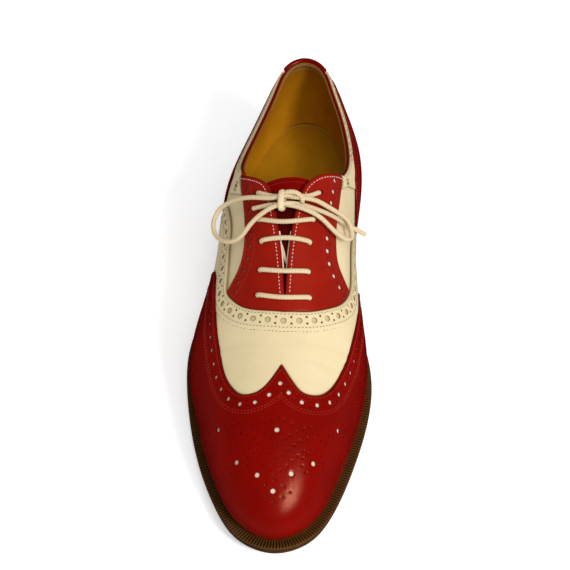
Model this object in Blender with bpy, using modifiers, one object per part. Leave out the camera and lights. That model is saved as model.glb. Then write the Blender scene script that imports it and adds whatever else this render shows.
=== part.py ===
"""Wingtip oxford, right shoe, built on its last.

Every piece of the upper is laid out in a flat plan of the last (across, station) and draped on
the last by one function, so panels, facing and lining all share the same form.
Tables are in millimetres: station runs from the back of the heel to the toe, lateral is the
outer side, medial the inner side. The finished part is in metres, toe towards -Y, +Z up.
"""

import bmesh
import bpy
import numpy as np

MM = 0.001
GAP = 0.4
PANEL_LIFT = 0.5
WING_LIFT = 0.6

# Facets: spacing by length (mm) and turning (rad), and the counts of columns and rows
LENGTH_STEP = 8.0
TURN_STEP = 0.25
EDGE_TURN_STEP = 0.6
DENSE = 200
RIDGE_COLUMNS = 13
THROAT_COLUMNS = 11
COLLAR_COLUMNS = 16
UPPER_ROWS = 8
WING_COLUMNS = 21
WING_ROWS = 8
VAMP_ROWS = 4
FACING_COLUMNS = 9
FACING_LOW_COLUMNS = 7
FACING_ROWS = 5
COUNTER_COLUMNS = 15
COUNTER_ROWS = 5
STRIP_COLUMNS = 16
TAB_COLUMNS = 6
STRIP_ROWS = 2
HEEL_STRIP_COLUMNS = 8
HEEL_STRIP_ROWS = 3
TONGUE_COLUMNS = 10
TONGUE_ROWS = 6
SOLE_STATIONS = 40
LIFT_STATIONS = 14
WELT_COLUMNS = 34
EYELET_SIDES = 6
KNOT_SIDES = 12
STRAND_POINTS = 4

# Working values: points of an outline and of its heel, search limits, joining distance (m)
OUTLINE_POINTS = 4000
HEEL_POINTS = 1500
ROW_SAMPLES = 61
HALVINGS = 40
FARTHEST = 90.0
RIB_SEARCH = (0.02, 0.99)
JOIN_DISTANCE = 0.00002
SHARP_ANGLE = 0.6

# Driving sizes of the shoe
SOLE_LENGTH = 303.0
TOE_TIP_ACROSS = 1.5
FLAT_START = 182.0
FLAT_END = 214.0
TOE_SPRING = 10.0
SOLE_THICK = 5.0
WELT_THICK = 3.0
HEEL_BREAST = 62.0
TOP_LIFT_THICK = 6.0
HEEL_LIFTS = 3
HEEL_INSET = 3.0
HEEL_FLARE = 0.6
OUTSOLE_TRIM = 0.8
WELT_INSIDE = 9.0
UPPER_WALL = 2.0
PANEL_THICK = 0.9
COUNTER_THICK = 1.1
WING_THICK = 1.6
LACE_RADIUS = 1.3
EYELET_RADIUS = 2.1
EYELET_DEPTH = 12.0

# Plan of the sole: station, lateral reach, medial reach
SOLE_PLAN = [
    (8, 19.0, 18.4),
    (28, 30.6, 29.2),
    (52, 35.8, 32.8),
    (78, 40.6, 32.3),
    (104, 44.2, 31.2),
    (130, 48.4, 34.2),
    (152, 54.2, 40.6),
    (174, 57.7, 47.0),
    (196, 56.2, 49.2),
    (220, 51.7, 46.9),
    (244, 45.0, 41.8),
    (266, 36.5, 35.6),
    (285, 26.5, 27.8),
    (297, 15.5, 18.0),
]

# Plan of the last at its widest line: station, lateral reach, medial reach
LAST_PLAN = [
    (9, 15.6, 15.4),
    (26, 25.8, 25.8),
    (46, 33.6, 32.9),
    (75, 41.2, 35.8),
    (105, 43.0, 34.2),
    (135, 44.6, 36.4),
    (160, 48.6, 40.4),
    (180, 51.8, 43.6),
    (200, 51.0, 44.2),
    (222, 45.8, 41.6),
    (246, 38.2, 35.8),
    (268, 29.4, 29.6),
    (286, 18.8, 20.6),
]
LAST_HEEL = (-0.3, 2.5)
LAST_TOE = (1.2, 297.5)

# Ridge of the last: station, across, height
RIDGE = [
    (0, 0.0, 103.0),
    (40, 0.5, 103.5),
    (70, 1.0, 106.0),
    (95, 1.5, 109.5),
    (112, 1.5, 108.0),
    (150, 0.8, 94.5),
    (181, 0.6, 80.0),
    (205, 0.8, 70.0),
    (230, 1.5, 61.0),
    (250, 1.5, 55.0),
    (270, 1.5, 49.5),
    (305, 1.5, 41.5),
]

# Cross sections of the last: station, height of widest line, tuck at the feather,
# fullness of the lateral side, of the medial side and of the top
SECTIONS = [
    (0, 18.0, 3.0, 0.65, 0.65, 0.80),
    (20, 17.0, 3.5, 0.42, 0.46, 0.50),
    (40, 17.0, 3.5, 0.16, 0.28, 0.44),
    (75, 16.0, 4.0, 0.20, 0.42, 0.48),
    (105, 15.0, 4.5, 0.46, 0.66, 0.60),
    (130, 14.0, 4.5, 0.46, 0.62, 0.56),
    (181, 12.0, 3.5, 0.54, 0.58, 0.48),
    (205, 11.5, 3.0, 0.56, 0.58, 0.50),
    (250, 11.0, 2.5, 0.58, 0.58, 0.60),
    (305, 9.0, 2.0, 0.60, 0.60, 0.62),
]
HEEL_AXIS = 36.0
TOE_AXIS = 252.0
AXIS_BLEND = 8.0
WIDE_SHARE = 0.84

# Underside of the sole behind the ball: station, height
ARCH = [(0, 25.5), (36, 25.0), (62, 23.5), (90, 18.0), (120, 9.5), (150, 3.2), (182, 0.0)]

# Edges given by height: station, height, or station, lateral height, medial height
COLLAR = [(0, 94.0), (20, 89.0), (40, 81.5), (60, 76.5), (75, 76.0), (90, 80.5), (106, 90.0)]
COUNTER_TOP = [
    (0, 79.0, 79.0), (12, 79.5, 79.5), (24, 77.0, 79.8), (35, 73.0, 78.0), (50, 66.0, 73.0),
    (65, 62.0, 70.4), (74, 60.0, 69.2), (82, 57.0, 66.3), (90, 52.0, 60.0), (96, 44.0, 52.0), (101, 32.0, 40.0),
]
COLLAR_FRONT = 101.0
COUNTER_FRONT = 101.0

# Height of the collar strip: station, lateral, medial
STRIP_DROP = [
    (20, 8.5, 4.6), (35, 8.5, 4.6), (50, 8.5, 4.6), (62, 8.5, 4.6), (72, 8.5, 5.2), (81, 8.5, 9.0),
]
HEEL_STRIP_TOP = 21.0
HEEL_STRIP_LOW = 14.0

# Throat and slit between the facings: station, lateral offset, medial offset from the ridge
THROAT = [
    (106, -17.0, 12.8),
    (111, -14.3, 9.8),
    (116, -11.2, 6.9),
    (121, -8.4, 4.6),
    (127, -6.6, 2.9),
    (136, -5.2, 1.7),
    (147, -3.8, 0.9),
    (159, -2.4, 0.4),
    (171, -1.3, 0.2),
    (181, -0.5, 0.2),
]
SLIT_END = 183.0
RIDGE_END = 262.0
FACING_SPLIT = 160.0
FACING_TOP_EDGE = 3.0

# Outlines in the plan: offset from the ridge, station
SHIELD_LATERAL = [
    (-17.8, 104.5), (-16.3, 119), (-14.5, 140), (-14.5, 156), (-16.2, 165.5), (-19.8, 174),
]
SHIELD_MEDIAL = [
    (14.6, 103.5), (14.3, 122), (14.1, 136), (14.7, 147), (16.5, 156.5), (21.5, 163.5),
]
SHIELD_LOW_LATERAL = [(-19.8, 174), (-17.6, 180), (-13, 187), (-7, 190.7), (0, 192)]
SHIELD_LOW_MEDIAL = [(21.5, 163.5), (18, 176.5), (13, 184.5), (7, 190), (0, 192)]
VAMP_LATERAL = [
    (-34.8, 104.5), (-26.7, 109.5), (-22.9, 120), (-21, 131), (-20.9, 143), (-20.3, 160),
]
VAMP_MEDIAL = [(27.3, 105), (24.3, 110), (22.5, 122), (22, 135), (22.3, 150)]
VAMP_REAR_FOOT = 103.0
WING_LATERAL = [
    (0, 219), (-3.1, 228), (-6.3, 232.8), (-10.3, 233.2), (-14.3, 228.6), (-17.7, 220),
    (-20, 208.5), (-22.3, 194), (-23.8, 179), (-25, 166), (-28.5, 148), (-35.5, 139),
]
WING_MEDIAL = [
    (0, 219), (4, 229), (6.6, 232), (10.6, 231), (15.3, 224), (19, 213),
    (21.5, 203), (23.5, 190), (25.3, 176), (26.5, 160), (28, 146),
]
WING_FOOT_LATERAL = 135.0
WING_FOOT_MEDIAL = 136.0
TAB_LATERAL = [(-23.5, 102), (-24.0, 106)]
TAB_MEDIAL = [(21.2, 86), (22.2, 90.3)]
TAB_END_LATERAL = 119.5
TAB_END_MEDIAL = 111.5
TAB_TURN_LATERAL = 3.0
TAB_TURN_MEDIAL = 20.0

# Tongue: station, lateral offset, medial offset
TONGUE = [
    (119.5, -9.0, 6.0),
    (122, -12.5, 9.5),
    (127, -14.8, 11.8),
    (150, -14.0, 12.5),
    (187, -11.0, 11.0),
]
TONGUE_THICK = 2.0
TONGUE_DEPTH = 3.0
TONGUE_CROWDING = 1.5

# Eyelet pairs from the lowest to the highest: station, lateral offset, medial offset
EYELETS = [
    (182.5, -8.5, 7.5),
    (169.5, -8.2, 6.6),
    (154.5, -8.2, 6.2),
    (142.0, -9.3, 6.5),
    (125.5, -10.6, 7.6),
]

# Lace routes over the facing: offset, station, lift above the upper
STRAND_LATERAL = [(-9.4, 127.6, 2.9), (-7.0, 130.2, 3.0), (-4.5, 132.4, 3.2)]
STRAND_MEDIAL = [(6.4, 128.6, 2.9), (4.4, 130.9, 3.0), (1.75, 132.6, 3.2)]
LOOP_LATERAL = [
    (-4.5, 134.6, 6.8), (-9.7, 131, 7.2), (-16.3, 126.5, 9), (-19.7, 127.5, 11), (-20.6, 134, 12),
    (-20, 142, 10), (-16.7, 149, 7), (-13.1, 149.5, 6), (-10.3, 145.5, 6.2), (-7.2, 142, 6.5),
    (-4.5, 139.6, 6.5),
]
LOOP_MEDIAL = [
    (1.85, 134.6, 6.8), (5.2, 134, 6.8), (8.9, 134, 6.5), (13.6, 133, 6.5), (16, 133.5, 6.5),
    (16.8, 136.5, 5.8), (14.9, 141.5, 5.4), (11.4, 144, 6), (7.4, 141.8, 6.5), (4.5, 140.4, 6.5),
    (1.85, 139.6, 6.5),
]
END_LATERAL = [(-4.7, 137, 3.3), (-7.1, 136.4, 3.2), (-10.8, 135, 3.2)]
END_MEDIAL = [
    (2.1, 137, 3.3), (5.2, 137, 3.2), (10.6, 135, 3.0), (15.7, 131, 3.2), (18.8, 127.5, 5.5),
    (20.5, 127, 10),
]

# Free parts of the bow: node, route, points along it
BOW = [
    ("lace_loop_lateral", LOOP_LATERAL, 19),
    ("lace_loop_medial", LOOP_MEDIAL, 16),
    ("lace_end_lateral", END_LATERAL, 4),
    ("lace_end_medial", END_MEDIAL, 10),
]
KNOT_PLACE = (-1.3, 136.0)
KNOT_LIFT = 5.4
KNOT_HALF = (6.5, 4.2, 3.5)

# Bend of the lace out of an eyelet: distance over the facing, lift above the upper
EYELET_BEND = [(0.0, -0.4), (0.0, 1.4), (0.7, 2.5), (2.2, 2.95)]
BAR_LIFT = 3.0
BAR_SHARES = (0.25, 0.42, 0.58, 0.75)

# Shares of the rib at which the upper and its panels end above the welt
UPPER_FOOT = 0.996
PANEL_FOOT = 0.98


def spline(x, y):
    """Natural cubic spline through the rows, held at its end values outside them."""
    x = np.asarray(x, float)
    y = np.asarray(y, float)
    count = len(x)
    step = np.diff(x)
    matrix = np.eye(count)
    right = np.zeros(count)
    for i in range(1, count - 1):
        matrix[i, i - 1 : i + 2] = step[i - 1], 2 * (step[i - 1] + step[i]), step[i]
        right[i] = 6 * ((y[i + 1] - y[i]) / step[i] - (y[i] - y[i - 1]) / step[i - 1])
    bend = np.linalg.solve(matrix, right)

    def at(q):
        q = np.clip(q, x[0], x[-1])
        i = np.clip(np.searchsorted(x, q) - 1, 0, count - 2)
        after = x[i + 1] - q
        before = q - x[i]
        cubic = (bend[i] * after**3 + bend[i + 1] * before**3) / (6 * step[i])
        first = (y[i] / step[i] - bend[i] * step[i] / 6) * after
        second = (y[i + 1] / step[i] - bend[i + 1] * step[i] / 6) * before
        return cubic + first + second

    return at


def columns(table):
    """One spline of the station for each further column of a table."""
    rows = np.asarray(table, float)
    return [spline(rows[:, 0], rows[:, k]) for k in range(1, rows.shape[1])]


def smooth(points, count):
    """Open curve through the points, evenly parted by length."""
    p = np.asarray(points, float)
    walk = np.r_[0, np.cumsum(np.sqrt(np.linalg.norm(np.diff(p, axis=0), axis=1)))]
    fine = np.linspace(0, walk[-1], 40 * len(p))
    curve = np.stack([spline(walk, p[:, k])(fine) for k in range(p.shape[1])], -1)
    return along(curve, np.linspace(0, 1, count))


def along(curve, shares):
    """Points of a dense curve at shares of its length."""
    run = np.r_[0, np.cumsum(np.linalg.norm(np.diff(curve, axis=0), axis=1))]
    return np.stack([np.interp(shares * run[-1], run, curve[:, k]) for k in range(curve.shape[1])], -1)


class Outline:
    """Closed plan outline with a lateral and a medial branch, each from heel to toe."""

    def __init__(self, heel, toe, table):
        lateral = [(-row[1], row[0]) for row in table]
        medial = [(row[2], row[0]) for row in table]
        ring = [heel] + lateral + [toe] + medial[::-1]
        wrap = 4
        curve = smooth(ring[-wrap:] + ring + ring[: wrap + 1], OUTLINE_POINTS)
        half = OUTLINE_POINTS // 2
        first = np.argmin(np.linalg.norm(curve[:half] - ring[0], axis=1))
        last = half + np.argmin(np.linalg.norm(curve[half:] - ring[0], axis=1))
        self.take(curve[first:last])

    def take(self, points):
        points = np.roll(points, -np.argmin(points[:, 1]), axis=0)
        toe = np.argmax(points[:, 1])
        self.points = points
        self.lateral = points[: toe + 1]
        self.medial = np.vstack([points[toe:], points[:1]])[::-1]
        self.low = points[0, 1]
        self.high = points[toe, 1]

    def inset(self, amount):
        ahead = np.roll(self.points, -1, axis=0) - np.roll(self.points, 1, axis=0)
        ahead /= np.linalg.norm(ahead, axis=1)[:, None]
        inner = Outline.__new__(Outline)
        inner.take(self.points + amount * np.stack([ahead[:, 1], -ahead[:, 0]], -1))
        return inner

    def reach(self, station):
        lateral = np.interp(station, self.lateral[:, 1], self.lateral[:, 0])
        medial = np.interp(station, self.medial[:, 1], self.medial[:, 0])
        return lateral, medial

    def branch(self, side):
        return self.lateral if side < 0 else self.medial


SOLE = Outline((0, 0), (TOE_TIP_ACROSS, SOLE_LENGTH), SOLE_PLAN)
LAST = Outline(LAST_HEEL, LAST_TOE, LAST_PLAN)
ridge_across, ridge_height = columns(RIDGE)
wide_height, tuck, lateral_full, medial_full, top_full = columns(SECTIONS)
(arch_height,) = columns(ARCH)
(collar_height,) = columns(COLLAR)
counter_lateral, counter_medial = columns(COUNTER_TOP)
strip_drop_lateral, strip_drop_medial = columns(STRIP_DROP)
throat_lateral, throat_medial = columns(THROAT)
ACROSS_MIDDLE = (SOLE.points[:, 0].min() + SOLE.points[:, 0].max()) / 2
STATION_MIDDLE = (SOLE.low + SOLE.high) / 2


def sole_bottom(station):
    toe = TOE_SPRING * (np.clip(station - FLAT_END, 0, None) / (SOLE_LENGTH - FLAT_END)) ** 2
    return np.where(station < FLAT_START, np.clip(arch_height(station), 0, None), toe)


def outsole_top(station):
    return sole_bottom(station) + SOLE_THICK


def feather_height(station):
    return outsole_top(station) + WELT_THICK


def soft_step(value):
    return np.logaddexp(0, value)


def spine(station):
    """Station of the rib's root, held between the heel axis and the toe axis."""
    heel = soft_step((HEEL_AXIS - station) / AXIS_BLEND)
    toe = soft_step((station - TOE_AXIS) / AXIS_BLEND)
    return station + AXIS_BLEND * (heel - toe)


def reach_along(across, station, away_across, away_station):
    """Distance from rib roots to the last's outline, by halving."""
    low = np.zeros_like(across)
    high = np.full_like(across, FARTHEST)
    for _ in range(HALVINGS):
        middle = (low + high) / 2
        x = across + away_across * middle
        s = station + away_station * middle
        lateral, medial = LAST.reach(s)
        inside = (s > LAST.low) & (s < LAST.high) & (x > lateral) & (x < medial)
        low = np.where(inside, middle, low)
        high = np.where(inside, high, middle)
    return low


def bezier(a, b, c, d, t):
    u = 1 - t
    return a * u**3 + 3 * b * u * u * t + 3 * c * u * t * t + d * t**3


def drape(plan):
    """Plan points (across, station) laid on the last: (across, station, height)."""
    plan = np.asarray(plan, float)
    root_station = spine(plan[..., 1])
    root_across = ridge_across(root_station)
    away = plan - np.stack([root_across, root_station], -1)
    length = np.maximum(np.linalg.norm(away, axis=-1), 1e-6)
    away = away / length[..., None]
    reach = reach_along(root_across, root_station, away[..., 0], away[..., 1])
    share = np.clip(length / reach, 0, 1)
    edge = root_station + away[..., 1] * reach
    waist = wide_height(edge) / (ridge_height(edge) - feather_height(edge))
    medial = (1 + away[..., 0]) / 2
    side = lateral_full(edge) * (1 - medial) + medial_full(edge) * medial
    upper = np.clip(share / WIDE_SHARE, 0, 1)
    lower = np.clip((share - WIDE_SHARE) / (1 - WIDE_SHARE), 0, 1)
    out = np.where(
        share > WIDE_SHARE,
        1 - tuck(edge) / reach * lower**2,
        bezier(0, top_full(edge), 1, 1, upper),
    )
    rise = np.where(
        share > WIDE_SHARE,
        waist * (1 - lower),
        bezier(1, 1, waist + side * (1 - waist), waist, upper),
    )
    across = root_across + away[..., 0] * reach * out
    station = root_station + away[..., 1] * reach * out
    floor = feather_height(station)
    return np.stack([across, station, floor + (ridge_height(station) - floor) * rise], -1)


def normals(plan, step=0.05):
    """Outward normals of the draped surface."""
    plan = np.asarray(plan, float)
    one = np.array([step, 0])
    two = np.array([0, step])
    across = drape(plan + one) - drape(plan - one)
    ahead = drape(plan + two) - drape(plan - two)
    normal = np.cross(across, ahead)
    return normal / np.linalg.norm(normal, axis=-1)[..., None]


def raised(plan, lift):
    return drape(plan) + np.asarray(lift)[..., None] * normals(plan)


def world(points):
    """Millimetres on the last to metres in the part's frame."""
    points = np.asarray(points, float)
    across = points[..., 0] - ACROSS_MIDDLE
    ahead = STATION_MIDDLE - points[..., 1]
    return np.stack([across, ahead, points[..., 2]], -1) * MM


def on_plan(rows):
    """Rows of (offset from the ridge, station) as plan points."""
    rows = np.asarray(rows, float)
    return np.stack([rows[:, 0] + ridge_across(rows[:, 1]), rows[:, 1]], -1)


def rib_root(edge):
    station = spine(edge[:, 1])
    return np.stack([ridge_across(station), station], -1)


def foot_points(edge, share):
    root = rib_root(edge)
    return root + share * (edge - root)


def at_height(edge, height):
    """Plan points on the ribs of these outline points where the last has a given height."""
    root = rib_root(edge)
    low, high = (np.full(len(edge), limit) for limit in RIB_SEARCH)
    for _ in range(HALVINGS):
        middle = (low + high) / 2
        point = drape(root + middle[:, None] * (edge - root))
        above = point[:, 2] > height(point[:, 1])
        low = np.where(above, middle, low)
        high = np.where(above, high, middle)
    return root + low[:, None] * (edge - root)


def edge_between(side, start, end, count):
    """Outline points of the last on one side between two stations, evenly parted."""
    branch = LAST.branch(side)
    lower, upper = min(start, end), max(start, end)
    part = branch[(branch[:, 1] >= lower) & (branch[:, 1] <= upper)]
    ends = [np.array([[np.interp(s, branch[:, 1], branch[:, 0]), s]]) for s in (lower, upper)]
    part = np.vstack([ends[0], part, ends[1]])
    part = along(part, np.linspace(0, 1, count))
    return part if start <= end else part[::-1]


def heel_edge(distances):
    """Outline points round the heel, at distances from its back centre (lateral below zero)."""
    ring = np.vstack([LAST.lateral[HEEL_POINTS:0:-1], LAST.medial[:HEEL_POINTS]])
    run = np.r_[0, np.cumsum(np.linalg.norm(np.diff(ring, axis=0), axis=1))]
    centre = run[np.argmin(ring[:, 1])]
    return np.stack([np.interp(centre + distances, run, ring[:, k]) for k in (0, 1)], -1)


def spread(curves, count, turn_steps=None):
    """Places along matched dense curves, closer together where any of them turns."""
    effort = 0
    for curve, turn_step in zip(curves, turn_steps or [TURN_STEP] * len(curves)):
        step = np.diff(curve, axis=0)
        size = np.maximum(np.linalg.norm(step, axis=1), 1e-9)
        ahead = step / size[:, None]
        turn = np.r_[0, np.arccos(np.clip((ahead[1:] * ahead[:-1]).sum(1), -1, 1))]
        effort = np.maximum(effort, size / LENGTH_STEP + turn / turn_step)
    walk = np.r_[0, np.cumsum(effort)]
    return np.interp(np.linspace(0, walk[-1], count + 1), walk, np.arange(len(walk)))


def take(curve, index):
    return np.stack([np.interp(index, np.arange(len(curve)), curve[:, k]) for k in (0, 1)], -1)


def plan_columns(segments):
    """Matched ends of a panel's columns, from segments of (first edge, second edge, count)."""
    firsts = []
    seconds = []
    for first, second, count in segments:
        index = spread([drape(first), drape(second)], count)
        keep = index if not firsts else index[1:]
        firsts.append(take(first, keep))
        seconds.append(take(second, keep))
    return np.vstack(firsts), np.vstack(seconds)


def plan_rows(first, second, rows):
    """Grid of plan points between two edges, each column parted by length and turning."""
    fine = np.linspace(0, 1, ROW_SAMPLES)
    lines = first[:, None] + (second - first)[:, None] * fine[None, :, None]
    grid = []
    for line, solid in zip(lines, drape(lines)):
        grid.append(take(line, spread([solid], rows)))
    return np.array(grid)


def above_foot(plan):
    """Plan points drawn in to the panels' foot line where a straight row runs outside it."""
    flat = plan.reshape(-1, 2)
    root = rib_root(flat)
    arm = flat - root
    length = np.maximum(np.linalg.norm(arm, axis=1), 1e-9)
    reach = reach_along(*root.T, *(arm / length[:, None]).T)
    share = np.minimum(1, PANEL_FOOT * reach / length)
    return (root + share[:, None] * arm).reshape(plan.shape)


def held_back(first, second, gap):
    """Second edge moved towards the first by a gap measured on the last."""
    length = np.linalg.norm(drape(first) - drape(second), axis=1)
    return second + (first - second) * (gap / np.maximum(length, 2 * gap))[:, None]


def material(name, colour, roughness):
    made = bpy.data.materials.new(name)
    made.use_nodes = True
    shader = made.node_tree.nodes["Principled BSDF"]
    shader.inputs["Base Color"].default_value = (*colour, 1)
    shader.inputs["Roughness"].default_value = roughness
    return made


def clear_scene():
    for item in list(bpy.data.objects):
        bpy.data.objects.remove(item, do_unlink=True)


def new_collection(name):
    made = bpy.data.collections.new(name)
    bpy.context.scene.collection.children.link(made)
    return made


clear_scene()
PARTS = new_collection("wingtip_oxford")
CUTTERS = new_collection("cutters")
RED = material("red_leather", (0.30, 0.004, 0.003), 0.35)
CREAM = material("cream_leather", (0.86, 0.78, 0.57), 0.45)
LINING = material("lining_leather", (0.37, 0.14, 0.01), 0.6)
WELT = material("welt_leather", (0.14, 0.065, 0.021), 0.6)
SOLE_LEATHER = material("sole_leather", (0.08, 0.034, 0.010), 0.55)
RUBBER = material("heel_rubber", (0.012, 0.011, 0.010), 0.8)
LACE = material("lace_cotton", (0.86, 0.78, 0.62), 0.85)


def place(name, mesh, paint, collection=PARTS):
    item = bpy.data.objects.new(name, mesh)
    item.data.materials.append(paint)
    collection.objects.link(item)
    return item


def mesh_of(name, points, faces):
    """Mesh in metres from points in millimetres on the last, with doubled points joined."""
    mesh = bpy.data.meshes.new(name)
    mesh.from_pydata([tuple(p) for p in world(points)], [], faces)
    shape = bmesh.new()
    shape.from_mesh(mesh)
    bmesh.ops.remove_doubles(shape, verts=shape.verts, dist=JOIN_DISTANCE)
    shape.to_mesh(mesh)
    shape.free()
    mesh.shade_smooth()
    mesh.set_sharp_from_angle(angle=SHARP_ANGLE)
    return mesh


def grid_faces(columns_count, rows_count):
    """Quads of a grid of points stored column by column."""
    faces = []
    for i in range(columns_count - 1):
        for j in range(rows_count - 1):
            a = i * rows_count + j
            faces.append((a, a + 1, a + rows_count + 1, a + rows_count))
    return faces


def shell(name, plan, lift, thick, outward, paint):
    """Draped grid of plan points given a thickness with Solidify, away from the last or into it."""
    points = raised(plan, np.full(plan.shape[:2], lift))
    faces = grid_faces(*plan.shape[:2])
    a, b, c = (points.reshape(-1, 3)[k] for k in faces[len(faces) // 2][:3])
    up = normals(plan).reshape(-1, 3)[faces[len(faces) // 2][0]]
    if np.dot(np.cross(b - a, c - b), up) * outward * -1 < 0:
        faces = [face[::-1] for face in faces]
    item = place(name, mesh_of(name, points.reshape(-1, 3), faces), paint)
    solid = item.modifiers.new("wall", "SOLIDIFY")
    solid.thickness = thick * MM
    solid.offset = 1
    return item


def collar_half(side, count):
    """Collar edge of one side from its front corner to the back of the heel, with its outline."""
    edge = edge_between(side, COLLAR_FRONT, LAST.low, count)
    return at_height(edge, collar_height), edge


def throat_half(side, start, count):
    """Throat and slit edge of one side, from a station to the end of the slit."""
    corner = collar_half(side, 3)[0][0]
    rows = on_plan([(throat_lateral(r[0]) if side < 0 else throat_medial(r[0]), r[0]) for r in THROAT])
    end = on_plan([(0, SLIT_END)])
    curve = np.vstack([smooth(np.vstack([corner, rows]), 300), end])
    curve = curve[curve[:, 1] >= start]
    return along(curve, np.linspace(0, 1, count))


def upper_half(side):
    """Segments of the upper on one side, from the toe to the back of the heel."""
    ridge_stations = np.linspace(RIDGE_END, SLIT_END, DENSE)
    ridge = on_plan(np.stack([np.zeros(DENSE), ridge_stations], -1))
    toe_foot = foot_points(edge_between(side, LAST.high, SLIT_END, DENSE), UPPER_FOOT)
    throat = throat_half(side, COLLAR_FRONT, DENSE)[::-1]
    side_foot = foot_points(edge_between(side, SLIT_END, COLLAR_FRONT, DENSE), UPPER_FOOT)
    collar, edge = collar_half(side, DENSE)
    heel_foot = foot_points(edge, UPPER_FOOT)
    return [
        (ridge, toe_foot, RIDGE_COLUMNS),
        (throat, side_foot, THROAT_COLUMNS),
        (collar, heel_foot, COLLAR_COLUMNS),
    ]


def make_upper():
    """Hollow upper: one wall round the last, open at collar, throat and underneath."""
    halves = [upper_half(-1), upper_half(1)]
    sides = [[], []]
    for lateral, medial in zip(*halves):
        curves = [drape(edge) for edge in (*lateral[:2], *medial[:2])]
        index = spread(curves, lateral[2])
        for kept, half in zip(sides, (lateral, medial)):
            new = index[1:] if kept else index
            kept.append(plan_rows(take(half[0], new), take(half[1], new), UPPER_ROWS))
    lateral, medial = (np.vstack(kept) for kept in sides)
    plan = np.vstack([lateral, medial[-2::-1]])
    return shell("upper", plan, 0.0, UPPER_WALL, -1, CREAM)


def wing_half(side, rear, edge, rear_tip, wing_foot):
    """Columns of one side where vamp and wing meet: vamp's rear edge, shared edge, wing's foot."""
    flank = foot_points(edge_between(side, VAMP_REAR_FOOT, wing_foot, DENSE), PANEL_FOOT)
    foot = foot_points(edge_between(side, wing_foot, LAST.high, DENSE), PANEL_FOOT)
    behind = smooth(np.vstack([flank[:1], on_plan(rear + rear_tip)]), DENSE)
    shared = smooth(np.vstack([flank[-1:], on_plan(edge[::-1])]), DENSE)
    turns = [EDGE_TURN_STEP, EDGE_TURN_STEP, TURN_STEP]
    index = spread([drape(behind), drape(shared), drape(foot)], WING_COLUMNS, turns)
    return [take(curve, index) for curve in (behind, shared, foot)]


def make_vamp_and_wing():
    """Vamp and wing cap, butted along one shared edge."""
    lateral = wing_half(-1, VAMP_LATERAL, WING_LATERAL, SHIELD_LOW_LATERAL, WING_FOOT_LATERAL)
    medial = wing_half(1, VAMP_MEDIAL, WING_MEDIAL, SHIELD_LOW_MEDIAL, WING_FOOT_MEDIAL)
    rear, edge, foot = (np.vstack([a, b[-2::-1]]) for a, b in zip(lateral, medial))
    vamp = above_foot(plan_rows(rear, held_back(rear, edge, GAP), VAMP_ROWS))
    wing = plan_rows(edge[1:-1], foot[1:-1], WING_ROWS)
    shell("vamp", vamp, PANEL_LIFT, PANEL_THICK, 1, CREAM)
    shell("wing_cap", wing, WING_LIFT, WING_THICK, 1, RED)


def make_facing():
    """Shield-shaped facing round the slit, its lower edge butted to the vamp's band."""
    shares = np.linspace(0, 1, DENSE)
    segments = []
    lateral = (-1, SHIELD_LATERAL, SHIELD_LOW_LATERAL)
    medial = (1, SHIELD_MEDIAL, SHIELD_LOW_MEDIAL)
    for side, flank, low in (lateral, medial):
        inner = throat_half(side, flank[0][1] + FACING_TOP_EDGE, 2 * DENSE)
        upper_inner = along(inner[inner[:, 1] <= FACING_SPLIT], shares)
        lower_inner = along(inner[inner[:, 1] >= FACING_SPLIT], shares)
        outer = held_back(upper_inner, smooth(on_plan(flank), DENSE), GAP)
        lower = held_back(lower_inner, smooth(on_plan(low), DENSE), GAP)
        pairs = [(upper_inner, outer, FACING_COLUMNS), (lower_inner, lower, FACING_LOW_COLUMNS)]
        if side > 0:
            pairs = [(a[::-1], b[::-1], n) for a, b, n in pairs[::-1]]
        segments += pairs
    plan = plan_rows(*plan_columns(segments), FACING_ROWS)
    return shell("facing", plan, PANEL_LIFT, PANEL_THICK, 1, RED)


def make_counter():
    lateral = edge_between(-1, COUNTER_FRONT, LAST.low, DENSE)
    medial = edge_between(1, LAST.low, COUNTER_FRONT, DENSE)
    segments = []
    for edge, height in ((lateral, counter_lateral), (medial, counter_medial)):
        top = at_height(edge, height)
        segments.append((top, foot_points(edge, PANEL_FOOT), COUNTER_COLUMNS))
    plan = plan_rows(*plan_columns(segments), COUNTER_ROWS)
    return shell("heel_counter", plan, PANEL_LIFT, COUNTER_THICK, 1, RED)


def make_heel_strip():
    top_edge = heel_edge(np.linspace(-HEEL_STRIP_TOP, HEEL_STRIP_TOP, DENSE))
    low_edge = heel_edge(np.linspace(-HEEL_STRIP_LOW, HEEL_STRIP_LOW, DENSE))
    top = at_height(top_edge, collar_height)
    low = at_height(low_edge, lambda s: counter_medial(s) + 2 * GAP)
    plan = plan_rows(*plan_columns([(top, low, HEEL_STRIP_COLUMNS)]), HEEL_STRIP_ROWS)
    return shell("heel_strip", plan, PANEL_LIFT, COUNTER_THICK, 1, RED)


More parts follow.
